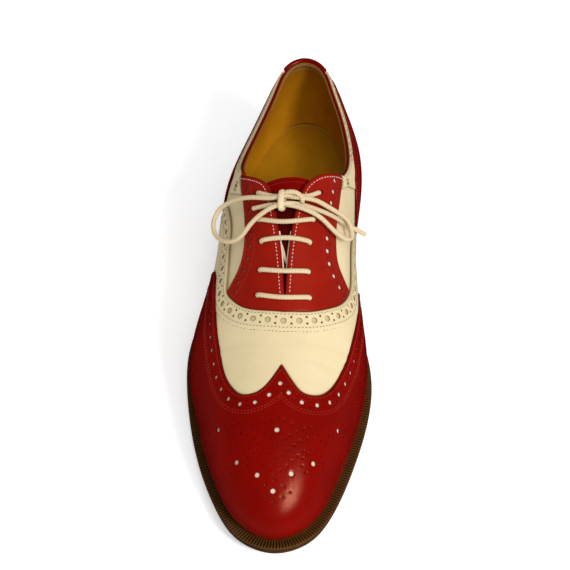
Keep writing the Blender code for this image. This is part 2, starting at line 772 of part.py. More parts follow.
def make_collar_strip(name, side, drop, flank, tab, tab_end, tab_turn):
    """Perforated strip under the collar, turning down beside the facing as a short tab."""
    heel_low = (HEEL_STRIP_TOP + HEEL_STRIP_LOW) / 2
    top_start = heel_edge(np.array([side * (HEEL_STRIP_TOP + 2 * GAP)]))[0, 1]
    low_start = heel_edge(np.array([side * (heel_low + 2 * GAP)]))[0, 1]
    top_edge = edge_between(side, top_start, COLLAR_FRONT, DENSE)
    low_edge = edge_between(side, low_start, COLLAR_FRONT - tab_turn, DENSE)
    top = at_height(top_edge, collar_height)
    low = at_height(low_edge, lambda s: collar_height(s) - drop(s))
    corner = throat_half(side, COLLAR_FRONT, 2 * DENSE)
    corner = corner[corner[:, 1] <= flank[0][1]]
    beside = smooth(on_plan(flank), 2 * DENSE)
    beside = beside[beside[:, 1] <= tab_end] + np.array([side * GAP, 0])
    tab_top = along(np.vstack([top[-1:], corner, beside]), np.linspace(0, 1, DENSE))
    tab_low = smooth(np.vstack([low[-1:], on_plan(tab)]), DENSE)
    segments = [(top, low, STRIP_COLUMNS), (tab_top, tab_low, TAB_COLUMNS)]
    plan = plan_rows(*plan_columns(segments), STRIP_ROWS)
    return shell(name, plan, PANEL_LIFT, PANEL_THICK, 1, CREAM)


def make_tongue():
    lateral, medial = columns(TONGUE)
    top, foot = TONGUE[0][0], TONGUE[-1][0]
    shares = np.linspace(0, 1, TONGUE_COLUMNS + 1) ** TONGUE_CROWDING
    stations = top + (foot - top) * shares
    first = on_plan(np.stack([lateral(stations), stations], -1))
    second = on_plan(np.stack([medial(stations), stations], -1))
    plan = plan_rows(first, second, TONGUE_ROWS)
    return shell("tongue", plan, -TONGUE_DEPTH, TONGUE_THICK, -1, RED)


def slab(name, outline, low, high, paint, end=None):
    """Sole layer between two surfaces of the station, to its toe or to a straight cut."""
    if end is None:
        turn = np.linspace(0, np.pi, SOLE_STATIONS + 1)
        span = (outline.high - outline.low) / 2
    else:
        turn = np.linspace(0, np.pi / 2, LIFT_STATIONS + 1)
        span = end - outline.low
    stations = outline.low + span * (1 - np.cos(turn))
    lateral, medial = outline.reach(stations)
    ring = [(lateral, high), (medial, high), (medial, low), (lateral, low)]
    points = np.stack([np.stack([x, stations, surface(stations)], -1) for x, surface in ring], 1)
    faces = []
    for i in range(len(stations) - 1):
        for j in range(4):
            a = 4 * i + j
            b = 4 * i + (j + 1) % 4
            faces.append((a, b, b + 4, a + 4))
    last = 4 * (len(stations) - 1)
    faces += [(3, 2, 1, 0), (last, last + 1, last + 2, last + 3)]
    mesh = mesh_of(name, points.reshape(-1, 3), faces)
    face_out(mesh)
    return place(name, mesh, paint)


def face_out(mesh):
    shape = bmesh.new()
    shape.from_mesh(mesh)
    bmesh.ops.dissolve_degenerate(shape, dist=JOIN_DISTANCE, edges=shape.edges)
    bmesh.ops.recalc_face_normals(shape, faces=shape.faces)
    shape.to_mesh(mesh)
    shape.free()


def make_welt(outer, inner):
    """Ring that carries the upper, between the sole's outline and a line inside the upper."""
    shares = np.linspace(0, 1, 2 * DENSE)
    index = spread([along(outline.lateral, shares) for outline in (outer, inner)], WELT_COLUMNS)
    rings = []
    for outline in (outer, inner):
        lateral = take(along(outline.lateral, shares), index)
        medial = take(along(outline.medial, shares), index)
        rings.append(np.vstack([lateral[:-1], medial[:0:-1]]))
    count = 2 * WELT_COLUMNS
    low = [np.c_[ring, outsole_top(ring[:, 1]) + GAP] for ring in rings]
    high = [np.c_[ring, feather_height(ring[:, 1])] for ring in rings]
    points = np.stack([high[0], low[0], low[1], high[1]], 1).reshape(-1, 3)
    faces = []
    for i in range(count):
        after = (i + 1) % count
        for j in range(4):
            k = (j + 1) % 4
            faces.append((4 * i + j, 4 * i + k, 4 * after + k, 4 * after + j))
    mesh = mesh_of("welt", points, faces)
    face_out(mesh)
    return place("welt", mesh, WELT)


def make_sole():
    slab("outsole", SOLE.inset(OUTSOLE_TRIM), sole_bottom, outsole_top, SOLE_LEATHER)
    make_welt(SOLE, LAST.inset(WELT_INSIDE))
    seat = LAST.inset(WELT_INSIDE + GAP)
    slab("insole", seat, lambda s: outsole_top(s) + GAP, feather_height, LINING)


def make_heel():
    """Flat rubber top lift and leather lifts that take up the slope of the outsole."""
    for k in range(HEEL_LIFTS + 1):
        slab(
            f"heel_lift_{k}" if k else "heel_top_lift",
            SOLE.inset(HEEL_INSET - HEEL_FLARE * k),
            lambda s, k=k: lift_surface(s, k - 1) + (GAP if k else 0),
            lambda s, k=k: lift_surface(s, k),
            SOLE_LEATHER if k else RUBBER,
            HEEL_BREAST - HEEL_FLARE * (HEEL_LIFTS - k),
        )


def lift_surface(station, step):
    """Top of a heel lift: flat on the top lift, then parted evenly up to the outsole."""
    if step < 0:
        return np.zeros_like(station)
    room = sole_bottom(station) - GAP - TOP_LIFT_THICK
    return TOP_LIFT_THICK + room * step / HEEL_LIFTS


def eyelet_plan(side):
    return on_plan([(row[1] if side < 0 else row[2], row[0]) for row in EYELETS])


def cut_eyelets(targets):
    """Round eyelet holes through the facing and the upper, from one mesh of cylinders."""
    plan = np.vstack([eyelet_plan(-1), eyelet_plan(1)])
    radius = EYELET_RADIUS * MM
    shape = bmesh.new()
    for centre, normal in zip(world(drape(plan)), normals(plan)):
        made = bmesh.ops.create_cone(
            shape,
            cap_ends=True,
            segments=EYELET_SIDES,
            radius1=radius,
            radius2=radius,
            depth=EYELET_DEPTH * MM,
        )
        turn_to(shape, made["verts"], centre, normal)
    mesh = bpy.data.meshes.new("eyelet_cutter")
    shape.to_mesh(mesh)
    shape.free()
    cutter = place("eyelet_cutter", mesh, RED, CUTTERS)
    cutter.hide_render = True
    cutter.display_type = "WIRE"
    for item in targets:
        cut = item.modifiers.new("eyelets", "BOOLEAN")
        cut.operation = "DIFFERENCE"
        cut.object = cutter


def turn_to(shape, verts, centre, normal):
    """Stand new points, made round +Z, along a normal of the last at a place in the frame."""
    axis = np.array([normal[0], -normal[1], normal[2]])
    side = np.cross(axis, (0, 1, 0))
    side /= np.linalg.norm(side)
    ahead = np.cross(axis, side)
    for vert in verts:
        vert.co = centre + vert.co[0] * side + vert.co[1] * ahead + vert.co[2] * axis


def tube(name, points):
    """Lace drawn as a round tube along points in millimetres on the last."""
    curve = bpy.data.curves.new(name, "CURVE")
    curve.dimensions = "3D"
    curve.bevel_depth = LACE_RADIUS * MM
    curve.bevel_resolution = 2
    curve.use_fill_caps = True
    line = curve.splines.new("POLY")
    line.points.add(len(points) - 1)
    for point, place_at in zip(line.points, world(points)):
        point.co = (*place_at, 1)
    return place(name, curve, LACE)


def eyelet_end(plan, towards):
    """Points of a lace coming up through an eyelet and bending over the facing."""
    start = drape(plan)
    normal = normals(plan)
    ahead = towards - start
    ahead = ahead - normal * np.dot(ahead, normal)
    ahead = ahead / np.linalg.norm(ahead)
    return np.array([start + ahead * out + normal * up for out, up in EYELET_BEND])


def lace_route(rows, count):
    rows = np.asarray(rows, float)
    return smooth(raised(on_plan(rows[:, :2]), rows[:, 2]), count)


def make_bars():
    lateral = eyelet_plan(-1)
    medial = eyelet_plan(1)
    for k in range(len(EYELETS) - 1):
        over = lateral[k] + np.outer(BAR_SHARES, medial[k] - lateral[k])
        over = raised(over, np.full(len(over), BAR_LIFT))
        start = eyelet_end(lateral[k], over[0])
        end = eyelet_end(medial[k], over[-1])[::-1]
        tube(f"lace_bar_{k + 1}", np.vstack([start, over, end]))


def make_bow():
    for side, name, rows in ((-1, "lateral", STRAND_LATERAL), (1, "medial", STRAND_MEDIAL)):
        route = lace_route(rows, STRAND_POINTS)
        start = eyelet_end(eyelet_plan(side)[-1], route[0])
        tube(f"lace_strand_{name}", np.vstack([start, route]))
    for name, rows, count in BOW:
        tube(name, lace_route(rows, count))


def make_knot():
    """Wrap of the bow: a barrel lying across the slit, its ends facing the strands."""
    plan = on_plan([KNOT_PLACE])
    centre = world(raised(plan, np.array([KNOT_LIFT])))[0]
    shape = bmesh.new()
    barrel = {"cap_ends": True, "segments": KNOT_SIDES, "radius1": 1, "radius2": 1, "depth": 2}
    made = bmesh.ops.create_cone(shape, **barrel)
    half = np.array(KNOT_HALF) * MM
    for vert in made["verts"]:
        vert.co = (vert.co[2] * half[0], vert.co[0] * half[1], vert.co[1] * half[2])
    turn_to(shape, made["verts"], centre, normals(plan)[0])
    bmesh.ops.recalc_face_normals(shape, faces=shape.faces)
    mesh = bpy.data.meshes.new("lace_knot")
    shape.to_mesh(mesh)
    shape.free()
    return place("lace_knot", mesh, LACE)


make_sole()
make_heel()
upper = make_upper()
make_vamp_and_wing()
facing = make_facing()
make_counter()
make_heel_strip()
make_collar_strip(
    "collar_strip_lateral", -1, strip_drop_lateral, SHIELD_LATERAL, TAB_LATERAL, TAB_END_LATERAL, TAB_TURN_LATERAL
)
make_collar_strip(
    "collar_strip_medial", 1, strip_drop_medial, SHIELD_MEDIAL, TAB_MEDIAL, TAB_END_MEDIAL, TAB_TURN_MEDIAL
)
make_tongue()
cut_eyelets([upper, facing])
make_bars()
make_bow()
make_knot()
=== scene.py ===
# %% [markdown]
# # Wingtip oxford, right shoe
# This lesson dresses a packed shoe model as one red and cream wingtip oxford. The solids that come
# with the frame hold the true shape of the last, the upper and the sole. Here every one of them
# gets the finish of the real shoe: punched panels, stitch rows, a notched welt and a tied lace.
# The frame is loaded first, because every piece rides on it and keeps to its box.

import bmesh
import bpy
import numpy as np
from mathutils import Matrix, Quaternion, Vector
from mathutils.geometry import delaunay_2d_cdt

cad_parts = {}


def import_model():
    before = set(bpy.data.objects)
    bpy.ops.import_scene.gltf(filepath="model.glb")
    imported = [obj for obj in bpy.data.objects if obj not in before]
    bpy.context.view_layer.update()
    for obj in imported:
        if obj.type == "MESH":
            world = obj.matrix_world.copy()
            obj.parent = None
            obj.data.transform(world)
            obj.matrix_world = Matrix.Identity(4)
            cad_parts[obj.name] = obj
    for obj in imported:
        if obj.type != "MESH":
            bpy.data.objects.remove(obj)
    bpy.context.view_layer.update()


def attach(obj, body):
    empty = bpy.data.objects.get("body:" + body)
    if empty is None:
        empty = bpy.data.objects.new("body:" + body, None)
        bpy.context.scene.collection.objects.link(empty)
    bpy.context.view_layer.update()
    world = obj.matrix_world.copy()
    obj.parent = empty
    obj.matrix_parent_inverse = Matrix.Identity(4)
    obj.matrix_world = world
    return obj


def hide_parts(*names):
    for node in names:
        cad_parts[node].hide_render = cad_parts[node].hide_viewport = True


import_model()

# %% [markdown]
# ## Camera
# The shoe is seen from above the toe with a long lens. The height and the distance of the camera
# set the perspective, so they come first. The aim, the lens and a small roll then place the shoe
# in the picture.

# %% camera
CAMERA_PLACE = (0.0588, -0.5416, 0.7182)
CAMERA_AIM = (0.001, 0.007, 0.040)
CAMERA_LENS = 96.0
CAMERA_ROLL = -0.035

camera = bpy.data.objects.new("camera", bpy.data.cameras.new("camera"))
camera.location = CAMERA_PLACE
level = (Vector(CAMERA_AIM) - Vector(CAMERA_PLACE)).to_track_quat("-Z", "Y")
camera.rotation_euler = (level @ Quaternion((0, 0, 1), CAMERA_ROLL)).to_euler()
camera.data.lens = CAMERA_LENS
bpy.context.scene.collection.objects.link(camera)
bpy.context.scene.camera = camera
print("camera lens", camera.data.lens)

# %% [markdown]
# ## The last
# A shoe is pulled over a last, so everything here is laid out on the same last as the solids. A
# plan point is (across, station) in millimetres: the station runs from the back of the heel to
# the toe, and lateral, the outer side, is below zero. One function drapes plan points on the
# last, and the outlines of the panels are given as an offset from its ridge.

# %% sizes of the shoe
MM = 0.001

# Points along curves, and limits of the searches on a rib
DENSE = 200
FINE_POINTS = 40
THROAT_POINTS = 300
OUTLINE_POINTS = 4000
HEEL_POINTS = 1500
HALVINGS = 40
FARTHEST = 90.0
RIB_SEARCH = (0.02, 0.99)

# Driving sizes of the shoe
SOLE_LENGTH = 303.0
TOE_TIP_ACROSS = 1.5
FLAT_START = 182.0
FLAT_END = 214.0
TOE_SPRING = 10.0
SOLE_THICK = 5.0
WELT_THICK = 3.0
HEEL_BREAST = 62.0
TOP_LIFT_THICK = 6.0
HEEL_LIFTS = 3
HEEL_INSET = 3.0
HEEL_FLARE = 0.6
OUTSOLE_TRIM = 0.8
WELT_INSIDE = 9.0
UPPER_WALL = 2.0
GAP = 0.4
PANEL_LIFT = 0.5
WING_LIFT = 0.6
PANEL_THICK = 0.9
COUNTER_THICK = 1.1
WING_THICK = 1.6
LACE_RADIUS = 1.3
print("sole", SOLE_LENGTH, "mm long, heel lifts", HEEL_LIFTS)

# %% [markdown]
# The last is given by tables: its outline at the widest line, its ridge and a few cross sections.
# The sole has an outline of its own, because the welt stands out past the upper.

# %% tables of the sole and the last
# Plan of the sole: station, lateral reach, medial reach
SOLE_PLAN = [
    (8, 19.0, 18.4), (28, 30.6, 29.2), (52, 35.8, 32.8), (78, 40.6, 32.3), (104, 44.2, 31.2),
    (130, 48.4, 34.2), (152, 54.2, 40.6), (174, 57.7, 47.0), (196, 56.2, 49.2), (220, 51.7, 46.9),
    (244, 45.0, 41.8), (266, 36.5, 35.6), (285, 26.5, 27.8), (297, 15.5, 18.0),
]

# Plan of the last at its widest line: station, lateral reach, medial reach
LAST_PLAN = [
    (9, 15.6, 15.4), (26, 25.8, 25.8), (46, 33.6, 32.9), (75, 41.2, 35.8), (105, 43.0, 34.2),
    (135, 44.6, 36.4), (160, 48.6, 40.4), (180, 51.8, 43.6), (200, 51.0, 44.2), (222, 45.8, 41.6),
    (246, 38.2, 35.8), (268, 29.4, 29.6), (286, 18.8, 20.6),
]
LAST_HEEL = (-0.3, 2.5)
LAST_TOE = (1.2, 297.5)

# Ridge of the last: station, across, height
RIDGE = [
    (0, 0.0, 103.0), (40, 0.5, 103.5), (70, 1.0, 106.0), (95, 1.5, 109.5), (112, 1.5, 108.0),
    (150, 0.8, 94.5), (181, 0.6, 80.0), (205, 0.8, 70.0), (230, 1.5, 61.0), (250, 1.5, 55.0),
    (270, 1.5, 49.5), (305, 1.5, 41.5),
]

# Cross sections of the last: station, height of widest line, tuck at the feather,
# fullness of the lateral side, of the medial side and of the top
SECTIONS = [
    (0, 18.0, 3.0, 0.65, 0.65, 0.80), (20, 17.0, 3.5, 0.42, 0.46, 0.50),
    (40, 17.0, 3.5, 0.16, 0.28, 0.44), (75, 16.0, 4.0, 0.20, 0.42, 0.48),
    (105, 15.0, 4.5, 0.46, 0.66, 0.60), (130, 14.0, 4.5, 0.46, 0.62, 0.56),
    (181, 12.0, 3.5, 0.54, 0.58, 0.48), (205, 11.5, 3.0, 0.56, 0.58, 0.50),
    (250, 11.0, 2.5, 0.58, 0.58, 0.60), (305, 9.0, 2.0, 0.60, 0.60, 0.62),
]
HEEL_AXIS = 36.0
TOE_AXIS = 252.0
AXIS_BLEND = 8.0
WIDE_SHARE = 0.84

# Underside of the sole behind the ball: station, height
ARCH = [(0, 25.5), (36, 25.0), (62, 23.5), (90, 18.0), (120, 9.5), (150, 3.2), (182, 0.0)]

print("sections of the last", len(SECTIONS))

# %% [markdown]
# The edges of the panels are tables as well. Collar, counter and strips are given by their height,
# because they run round the sides. Throat, facing, vamp, wing and tongue lie on top, so they are
# given by their offset from the ridge.

# %% tables of the panels
# Edges given by height: station, height, or station, lateral height, medial height
COLLAR = [(0, 94.0), (20, 89.0), (40, 81.5), (60, 76.5), (75, 76.0), (90, 80.5), (106, 90.0)]
COUNTER_TOP = [
    (0, 79.0, 79.0), (12, 79.5, 79.5), (24, 77.0, 79.8), (35, 73.0, 78.0), (50, 66.0, 73.0),
    (65, 62.0, 70.4), (74, 60.0, 69.2), (82, 57.0, 66.3), (90, 52.0, 60.0), (96, 44.0, 52.0),
    (101, 32.0, 40.0),
]
COLLAR_FRONT = 101.0
COUNTER_FRONT = 101.0

# Height of the collar strip: station, lateral, medial
STRIP_DROP = [
    (20, 8.5, 4.6), (35, 8.5, 4.6), (50, 8.5, 4.6), (62, 8.5, 4.6), (72, 8.5, 5.2), (81, 8.5, 9.0),
]
HEEL_STRIP_TOP = 21.0
HEEL_STRIP_LOW = 14.0

# Throat and slit between the facings: station, lateral offset, medial offset from the ridge
THROAT = [
    (106, -17.0, 12.8), (111, -14.3, 9.8), (116, -11.2, 6.9), (121, -8.4, 4.6), (127, -6.6, 2.9),
    (136, -5.2, 1.7), (147, -3.8, 0.9), (159, -2.4, 0.4), (171, -1.3, 0.2), (181, -0.5, 0.2),
]
SLIT_END = 183.0
RIDGE_END = 262.0
FACING_TOP_EDGE = 3.0

# Outlines in the plan: offset from the ridge, station
SHIELD_LATERAL = [
    (-17.8, 104.5), (-16.3, 119), (-14.5, 140), (-14.5, 156), (-16.2, 165.5), (-19.8, 174),
]
SHIELD_MEDIAL = [
    (14.6, 103.5), (14.3, 122), (14.1, 136), (14.7, 147), (16.5, 156.5), (21.5, 163.5),
]
SHIELD_LOW_LATERAL = [(-19.8, 174), (-17.6, 180), (-13, 187), (-7, 190.7), (0, 192)]
SHIELD_LOW_MEDIAL = [(21.5, 163.5), (18, 176.5), (13, 184.5), (7, 190), (0, 192)]
VAMP_LATERAL = [
    (-34.8, 104.5), (-26.7, 109.5), (-22.9, 120), (-21, 131), (-20.9, 143), (-20.3, 160),
]
VAMP_MEDIAL = [(27.3, 105), (24.3, 110), (22.5, 122), (22, 135), (22.3, 150)]
VAMP_REAR_FOOT = 103.0
WING_LATERAL = [
    (0, 219), (-3.1, 228), (-6.3, 232.8), (-10.3, 233.2), (-14.3, 228.6), (-17.7, 220),
    (-20, 208.5), (-22.3, 194), (-23.8, 179), (-25, 166), (-28.5, 148), (-35.5, 139),
]
WING_MEDIAL = [
    (0, 219), (4, 229), (6.6, 232), (10.6, 231), (15.3, 224), (19, 213),
    (21.5, 203), (23.5, 190), (25.3, 176), (26.5, 160), (28, 146),
]
WING_FOOT_LATERAL = 135.0
WING_FOOT_MEDIAL = 136.0
TAB_LATERAL = [(-23.5, 102), (-24.0, 106)]
TAB_MEDIAL = [(21.2, 86), (22.2, 90.3)]
TAB_END_LATERAL = 119.5
TAB_END_MEDIAL = 111.5
TAB_TURN_LATERAL = 3.0
TAB_TURN_MEDIAL = 20.0

# Tongue: station, lateral offset, medial offset
TONGUE = [
    (119.5, -9.0, 6.0), (122, -12.5, 9.5), (127, -14.8, 11.8), (150, -14.0, 12.5),
    (187, -11.0, 11.0),
]
TONGUE_THICK = 2.0
TONGUE_DEPTH = 3.0

# Eyelet pairs from the lowest to the highest: station, lateral offset, medial offset
EYELETS = [
    (182.5, -8.5, 7.5), (169.5, -8.2, 6.6), (154.5, -8.2, 6.2), (142.0, -9.3, 6.5),
    (125.5, -10.6, 7.6),
]

# Shares of the rib at which the upper and its panels end above the welt
UPPER_FOOT = 0.996
PANEL_FOOT = 0.98
print("eyelet pairs", len(EYELETS))

# %% [markdown]
# The bow is given as routes over the facing. Each route is a row of places with their lift above
# the upper, and the pieces of lace are swept along them later.

# %% routes of the bow
# Offset, station, lift above the upper
STRAND_LATERAL = [(-7.0, 130.2, 3.0), (-4.5, 132.4, 3.2)]
STRAND_MEDIAL = [(4.4, 130.9, 3.0), (1.75, 132.6, 3.2)]
LOOP_LATERAL = [
    (-4.5, 134.6, 6.8), (-9.7, 131, 7.2), (-16.3, 126.5, 9), (-19.7, 127.5, 11), (-20.6, 134, 12),
    (-20, 142, 10), (-16.7, 149, 7), (-13.1, 149.5, 6), (-10.3, 145.5, 6.2), (-7.2, 142, 6.5),
    (-4.5, 139.6, 6.5),
]
LOOP_MEDIAL = [
    (1.85, 134.4, 5.9), (5.2, 134, 6.8), (8.9, 134, 6.5), (13.2, 132.4, 6.5), (15.9, 132.7, 6.3),
    (17.2, 136.7, 5.8), (15.3, 141.8, 5.4), (11.4, 144, 6), (7.4, 141.8, 6.5), (4.5, 140.4, 6.5),
    (1.85, 139.3, 5.8),
]
END_LATERAL = [(-4.7, 137, 3.5), (-7.1, 136.4, 3.2), (-10.8, 135, 3.2)]
END_MEDIAL = [
    (2.1, 137, 3.3), (5.2, 137, 3.2), (10.6, 135, 3.0), (15.7, 131, 3.2), (18.8, 127.5, 5.5),
    (20.5, 127, 10),
]

BAR_LIFT = 3.0
print("points of the loops", len(LOOP_LATERAL), len(LOOP_MEDIAL))

# %% [markdown]
# Splines turn the tables into smooth lines. An outline is closed, so its points are repeated past
# both ends before the spline is drawn, and one turn is cut out of it.

# %% curves and outlines
def spline(x, y):
    """Natural cubic spline through the rows, held at its end values outside them."""
    x = np.asarray(x, float)
    y = np.asarray(y, float)
    count = len(x)
    step = np.diff(x)
    matrix = np.eye(count)
    right = np.zeros(count)
    for i in range(1, count - 1):
        matrix[i, i - 1 : i + 2] = step[i - 1], 2 * (step[i - 1] + step[i]), step[i]
        right[i] = 6 * ((y[i + 1] - y[i]) / step[i] - (y[i] - y[i - 1]) / step[i - 1])
    bend = np.linalg.solve(matrix, right)

    def at(q):
        q = np.clip(q, x[0], x[-1])
        i = np.clip(np.searchsorted(x, q) - 1, 0, count - 2)
        after = x[i + 1] - q
        before = q - x[i]
        cubic = (bend[i] * after**3 + bend[i + 1] * before**3) / (6 * step[i])
        first = (y[i] / step[i] - bend[i] * step[i] / 6) * after
        second = (y[i + 1] / step[i] - bend[i + 1] * step[i] / 6) * before
        return cubic + first + second

    return at


def columns(table):
    """One spline of the station for each further column of a table."""
    rows = np.asarray(table, float)
    return [spline(rows[:, 0], rows[:, k]) for k in range(1, rows.shape[1])]


def walked(points):
    """Way walked along a line of points up to each of them."""
    return np.r_[0, np.cumsum(np.linalg.norm(np.diff(points, axis=0), axis=1))]


def smooth(points, count):
    """Open curve through the points, evenly parted by length."""
    p = np.asarray(points, float)
    walk = np.r_[0, np.cumsum(np.sqrt(np.linalg.norm(np.diff(p, axis=0), axis=1)))]
    fine = np.linspace(0, walk[-1], FINE_POINTS * len(p))
    curve = np.stack([spline(walk, p[:, k])(fine) for k in range(p.shape[1])], -1)
    return along(curve, np.linspace(0, 1, count))


def along(curve, shares):
    """Points of a dense curve at shares of its length."""
    run = walked(curve)
    return np.stack([np.interp(shares * run[-1], run, curve[:, k]) for k in range(curve.shape[1])], -1)


class Outline:
    """Closed plan outline with a lateral and a medial branch, each from heel to toe."""

    def __init__(self, heel, toe, table):
        lateral = [(-row[1], row[0]) for row in table]
        medial = [(row[2], row[0]) for row in table]
        ring = [heel] + lateral + [toe] + medial[::-1]
        wrap = 4
        curve = smooth(ring[-wrap:] + ring + ring[: wrap + 1], OUTLINE_POINTS)
        half = OUTLINE_POINTS // 2
        first = np.argmin(np.linalg.norm(curve[:half] - ring[0], axis=1))
        last = half + np.argmin(np.linalg.norm(curve[half:] - ring[0], axis=1))
        self.take(curve[first:last])

    def take(self, points):
        points = np.roll(points, -np.argmin(points[:, 1]), axis=0)
        toe = np.argmax(points[:, 1])
        self.points = points
        self.lateral = points[: toe + 1]
        self.medial = np.vstack([points[toe:], points[:1]])[::-1]
        self.low = points[0, 1]
        self.high = points[toe, 1]

    def inset(self, amount):
        ahead = np.roll(self.points, -1, axis=0) - np.roll(self.points, 1, axis=0)
        ahead /= np.linalg.norm(ahead, axis=1)[:, None]
        inner = Outline.__new__(Outline)
        inner.take(self.points + amount * np.stack([ahead[:, 1], -ahead[:, 0]], -1))
        return inner

    def reach(self, station):
        lateral = np.interp(station, self.lateral[:, 1], self.lateral[:, 0])
        medial = np.interp(station, self.medial[:, 1], self.medial[:, 0])
        return lateral, medial

    def branch(self, side):
        return self.lateral if side < 0 else self.medial


SOLE = Outline((0, 0), (TOE_TIP_ACROSS, SOLE_LENGTH), SOLE_PLAN)
LAST = Outline(LAST_HEEL, LAST_TOE, LAST_PLAN)
ridge_across, ridge_height = columns(RIDGE)
wide_height, tuck, lateral_full, medial_full, top_full = columns(SECTIONS)
(arch_height,) = columns(ARCH)
(collar_height,) = columns(COLLAR)
counter_lateral, counter_medial = columns(COUNTER_TOP)
strip_drop_lateral, strip_drop_medial = columns(STRIP_DROP)
throat_lateral, throat_medial = columns(THROAT)
ACROSS_MIDDLE = (SOLE.points[:, 0].min() + SOLE.points[:, 0].max()) / 2
STATION_MIDDLE = (SOLE.low + SOLE.high) / 2
print("last", round(float(LAST.high - LAST.low), 1), "mm long")

# %% [markdown]
# The last is made of ribs that run from its ridge out to its outline. A plan point lies at a share
# of its rib, and the cross section there tells how far out and how high that share is. At the heel
# and the toe the ribs fan out from one axis, so that both ends become round.

# %% draping on the last
def sole_bottom(station):
    toe = TOE_SPRING * (np.clip(station - FLAT_END, 0, None) / (SOLE_LENGTH - FLAT_END)) ** 2
    return np.where(station < FLAT_START, np.clip(arch_height(station), 0, None), toe)


def outsole_top(station):
    return sole_bottom(station) + SOLE_THICK


def feather_height(station):
    return outsole_top(station) + WELT_THICK


def soft_step(value):
    return np.logaddexp(0, value)


def spine(station):
    """Station of the rib's root, held between the heel axis and the toe axis."""
    heel = soft_step((HEEL_AXIS - station) / AXIS_BLEND)
    toe = soft_step((station - TOE_AXIS) / AXIS_BLEND)
    return station + AXIS_BLEND * (heel - toe)


def reach_along(across, station, away_across, away_station):
    """Distance from rib roots to the last's outline, by halving."""
    low = np.zeros_like(across)
    high = np.full_like(across, FARTHEST)
    for _ in range(HALVINGS):
        middle = (low + high) / 2
        x = across + away_across * middle
        s = station + away_station * middle
        lateral, medial = LAST.reach(s)
        inside = (s > LAST.low) & (s < LAST.high) & (x > lateral) & (x < medial)
        low = np.where(inside, middle, low)
        high = np.where(inside, high, middle)
    return low


def bezier(a, b, c, d, t):
    u = 1 - t
    return a * u**3 + 3 * b * u * u * t + 3 * c * u * t * t + d * t**3


def drape(plan):
    """Plan points (across, station) laid on the last: (across, station, height)."""
    plan = np.asarray(plan, float)
    root_station = spine(plan[..., 1])
    root_across = ridge_across(root_station)
    away = plan - np.stack([root_across, root_station], -1)
    length = np.maximum(np.linalg.norm(away, axis=-1), 1e-6)
    away = away / length[..., None]
    reach = reach_along(root_across, root_station, away[..., 0], away[..., 1])
    share = np.clip(length / reach, 0, 1)
    edge = root_station + away[..., 1] * reach
    waist = wide_height(edge) / (ridge_height(edge) - feather_height(edge))
    medial = (1 + away[..., 0]) / 2
    side = lateral_full(edge) * (1 - medial) + medial_full(edge) * medial
    upper = np.clip(share / WIDE_SHARE, 0, 1)
    lower = np.clip((share - WIDE_SHARE) / (1 - WIDE_SHARE), 0, 1)
    out = np.where(
        share > WIDE_SHARE,
        1 - tuck(edge) / reach * lower**2,
        bezier(0, top_full(edge), 1, 1, upper),
    )
    rise = np.where(
        share > WIDE_SHARE,
        waist * (1 - lower),
        bezier(1, 1, waist + side * (1 - waist), waist, upper),
    )
    across = root_across + away[..., 0] * reach * out
    station = root_station + away[..., 1] * reach * out
    floor = feather_height(station)
    return np.stack([across, station, floor + (ridge_height(station) - floor) * rise], -1)


def normals(plan, step=0.05):
    """Outward normals of the draped surface."""
    plan = np.asarray(plan, float)
    one = np.array([step, 0])
    two = np.array([0, step])
    across = drape(plan + one) - drape(plan - one)
    ahead = drape(plan + two) - drape(plan - two)
    normal = np.cross(across, ahead)
    return normal / np.linalg.norm(normal, axis=-1)[..., None]


def raised(plan, lift):
    """Draped points moved out by one lift, or by a lift for each of them."""
    return drape(plan) + np.asarray(lift)[..., None] * normals(plan)


def world(points):
    """Millimetres on the last to metres in the part's frame."""
    points = np.asarray(points, float)
    across = points[..., 0] - ACROSS_MIDDLE
    ahead = STATION_MIDDLE - points[..., 1]
    return np.stack([across, ahead, points[..., 2]], -1) * MM


def on_plan(rows):
    """Rows of (offset from the ridge, station) as plan points."""
    rows = np.asarray(rows, float)
    return np.stack([rows[:, 0] + ridge_across(rows[:, 1]), rows[:, 1]], -1)


def rib_root(edge):
    station = spine(edge[:, 1])
    return np.stack([ridge_across(station), station], -1)


def foot_points(edge, share):
    root = rib_root(edge)
    return root + share * (edge - root)


def at_height(edge, height):
    """Plan points on the ribs of these outline points where the last has a given height."""
    root = rib_root(edge)
    low, high = (np.full(len(edge), limit) for limit in RIB_SEARCH)
    for _ in range(HALVINGS):
        middle = (low + high) / 2
        point = drape(root + middle[:, None] * (edge - root))
        above = point[:, 2] > height(point[:, 1])
        low = np.where(above, middle, low)
        high = np.where(above, high, middle)
    return root + low[:, None] * (edge - root)


print("ridge over the toe", round(float(drape(on_plan([(0, RIDGE_END)]))[0, 2]), 1), "mm high")

# %% [markdown]
# The edges of the upper follow the outline, the height of the collar and the throat. These
# functions give them as plan points, always counted from a known end.

# %% edges of the upper
def edge_between(side, start, end, count):
    """Outline points of the last on one side between two stations, evenly parted."""
    branch = LAST.branch(side)
    lower, upper = min(start, end), max(start, end)
    part = branch[(branch[:, 1] >= lower) & (branch[:, 1] <= upper)]
    ends = [np.array([[np.interp(s, branch[:, 1], branch[:, 0]), s]]) for s in (lower, upper)]
    part = np.vstack([ends[0], part, ends[1]])
    part = along(part, np.linspace(0, 1, count))
    return part if start <= end else part[::-1]


def heel_edge(distances):
    """Outline points round the heel, at distances from its back centre (lateral below zero)."""
    ring = np.vstack([LAST.lateral[HEEL_POINTS:0:-1], LAST.medial[:HEEL_POINTS]])
    run = walked(ring)
    centre = run[np.argmin(ring[:, 1])]
    return np.stack([np.interp(centre + distances, run, ring[:, k]) for k in (0, 1)], -1)


def take(curve, index):
    return np.stack([np.interp(index, np.arange(len(curve)), curve[:, k]) for k in (0, 1)], -1)


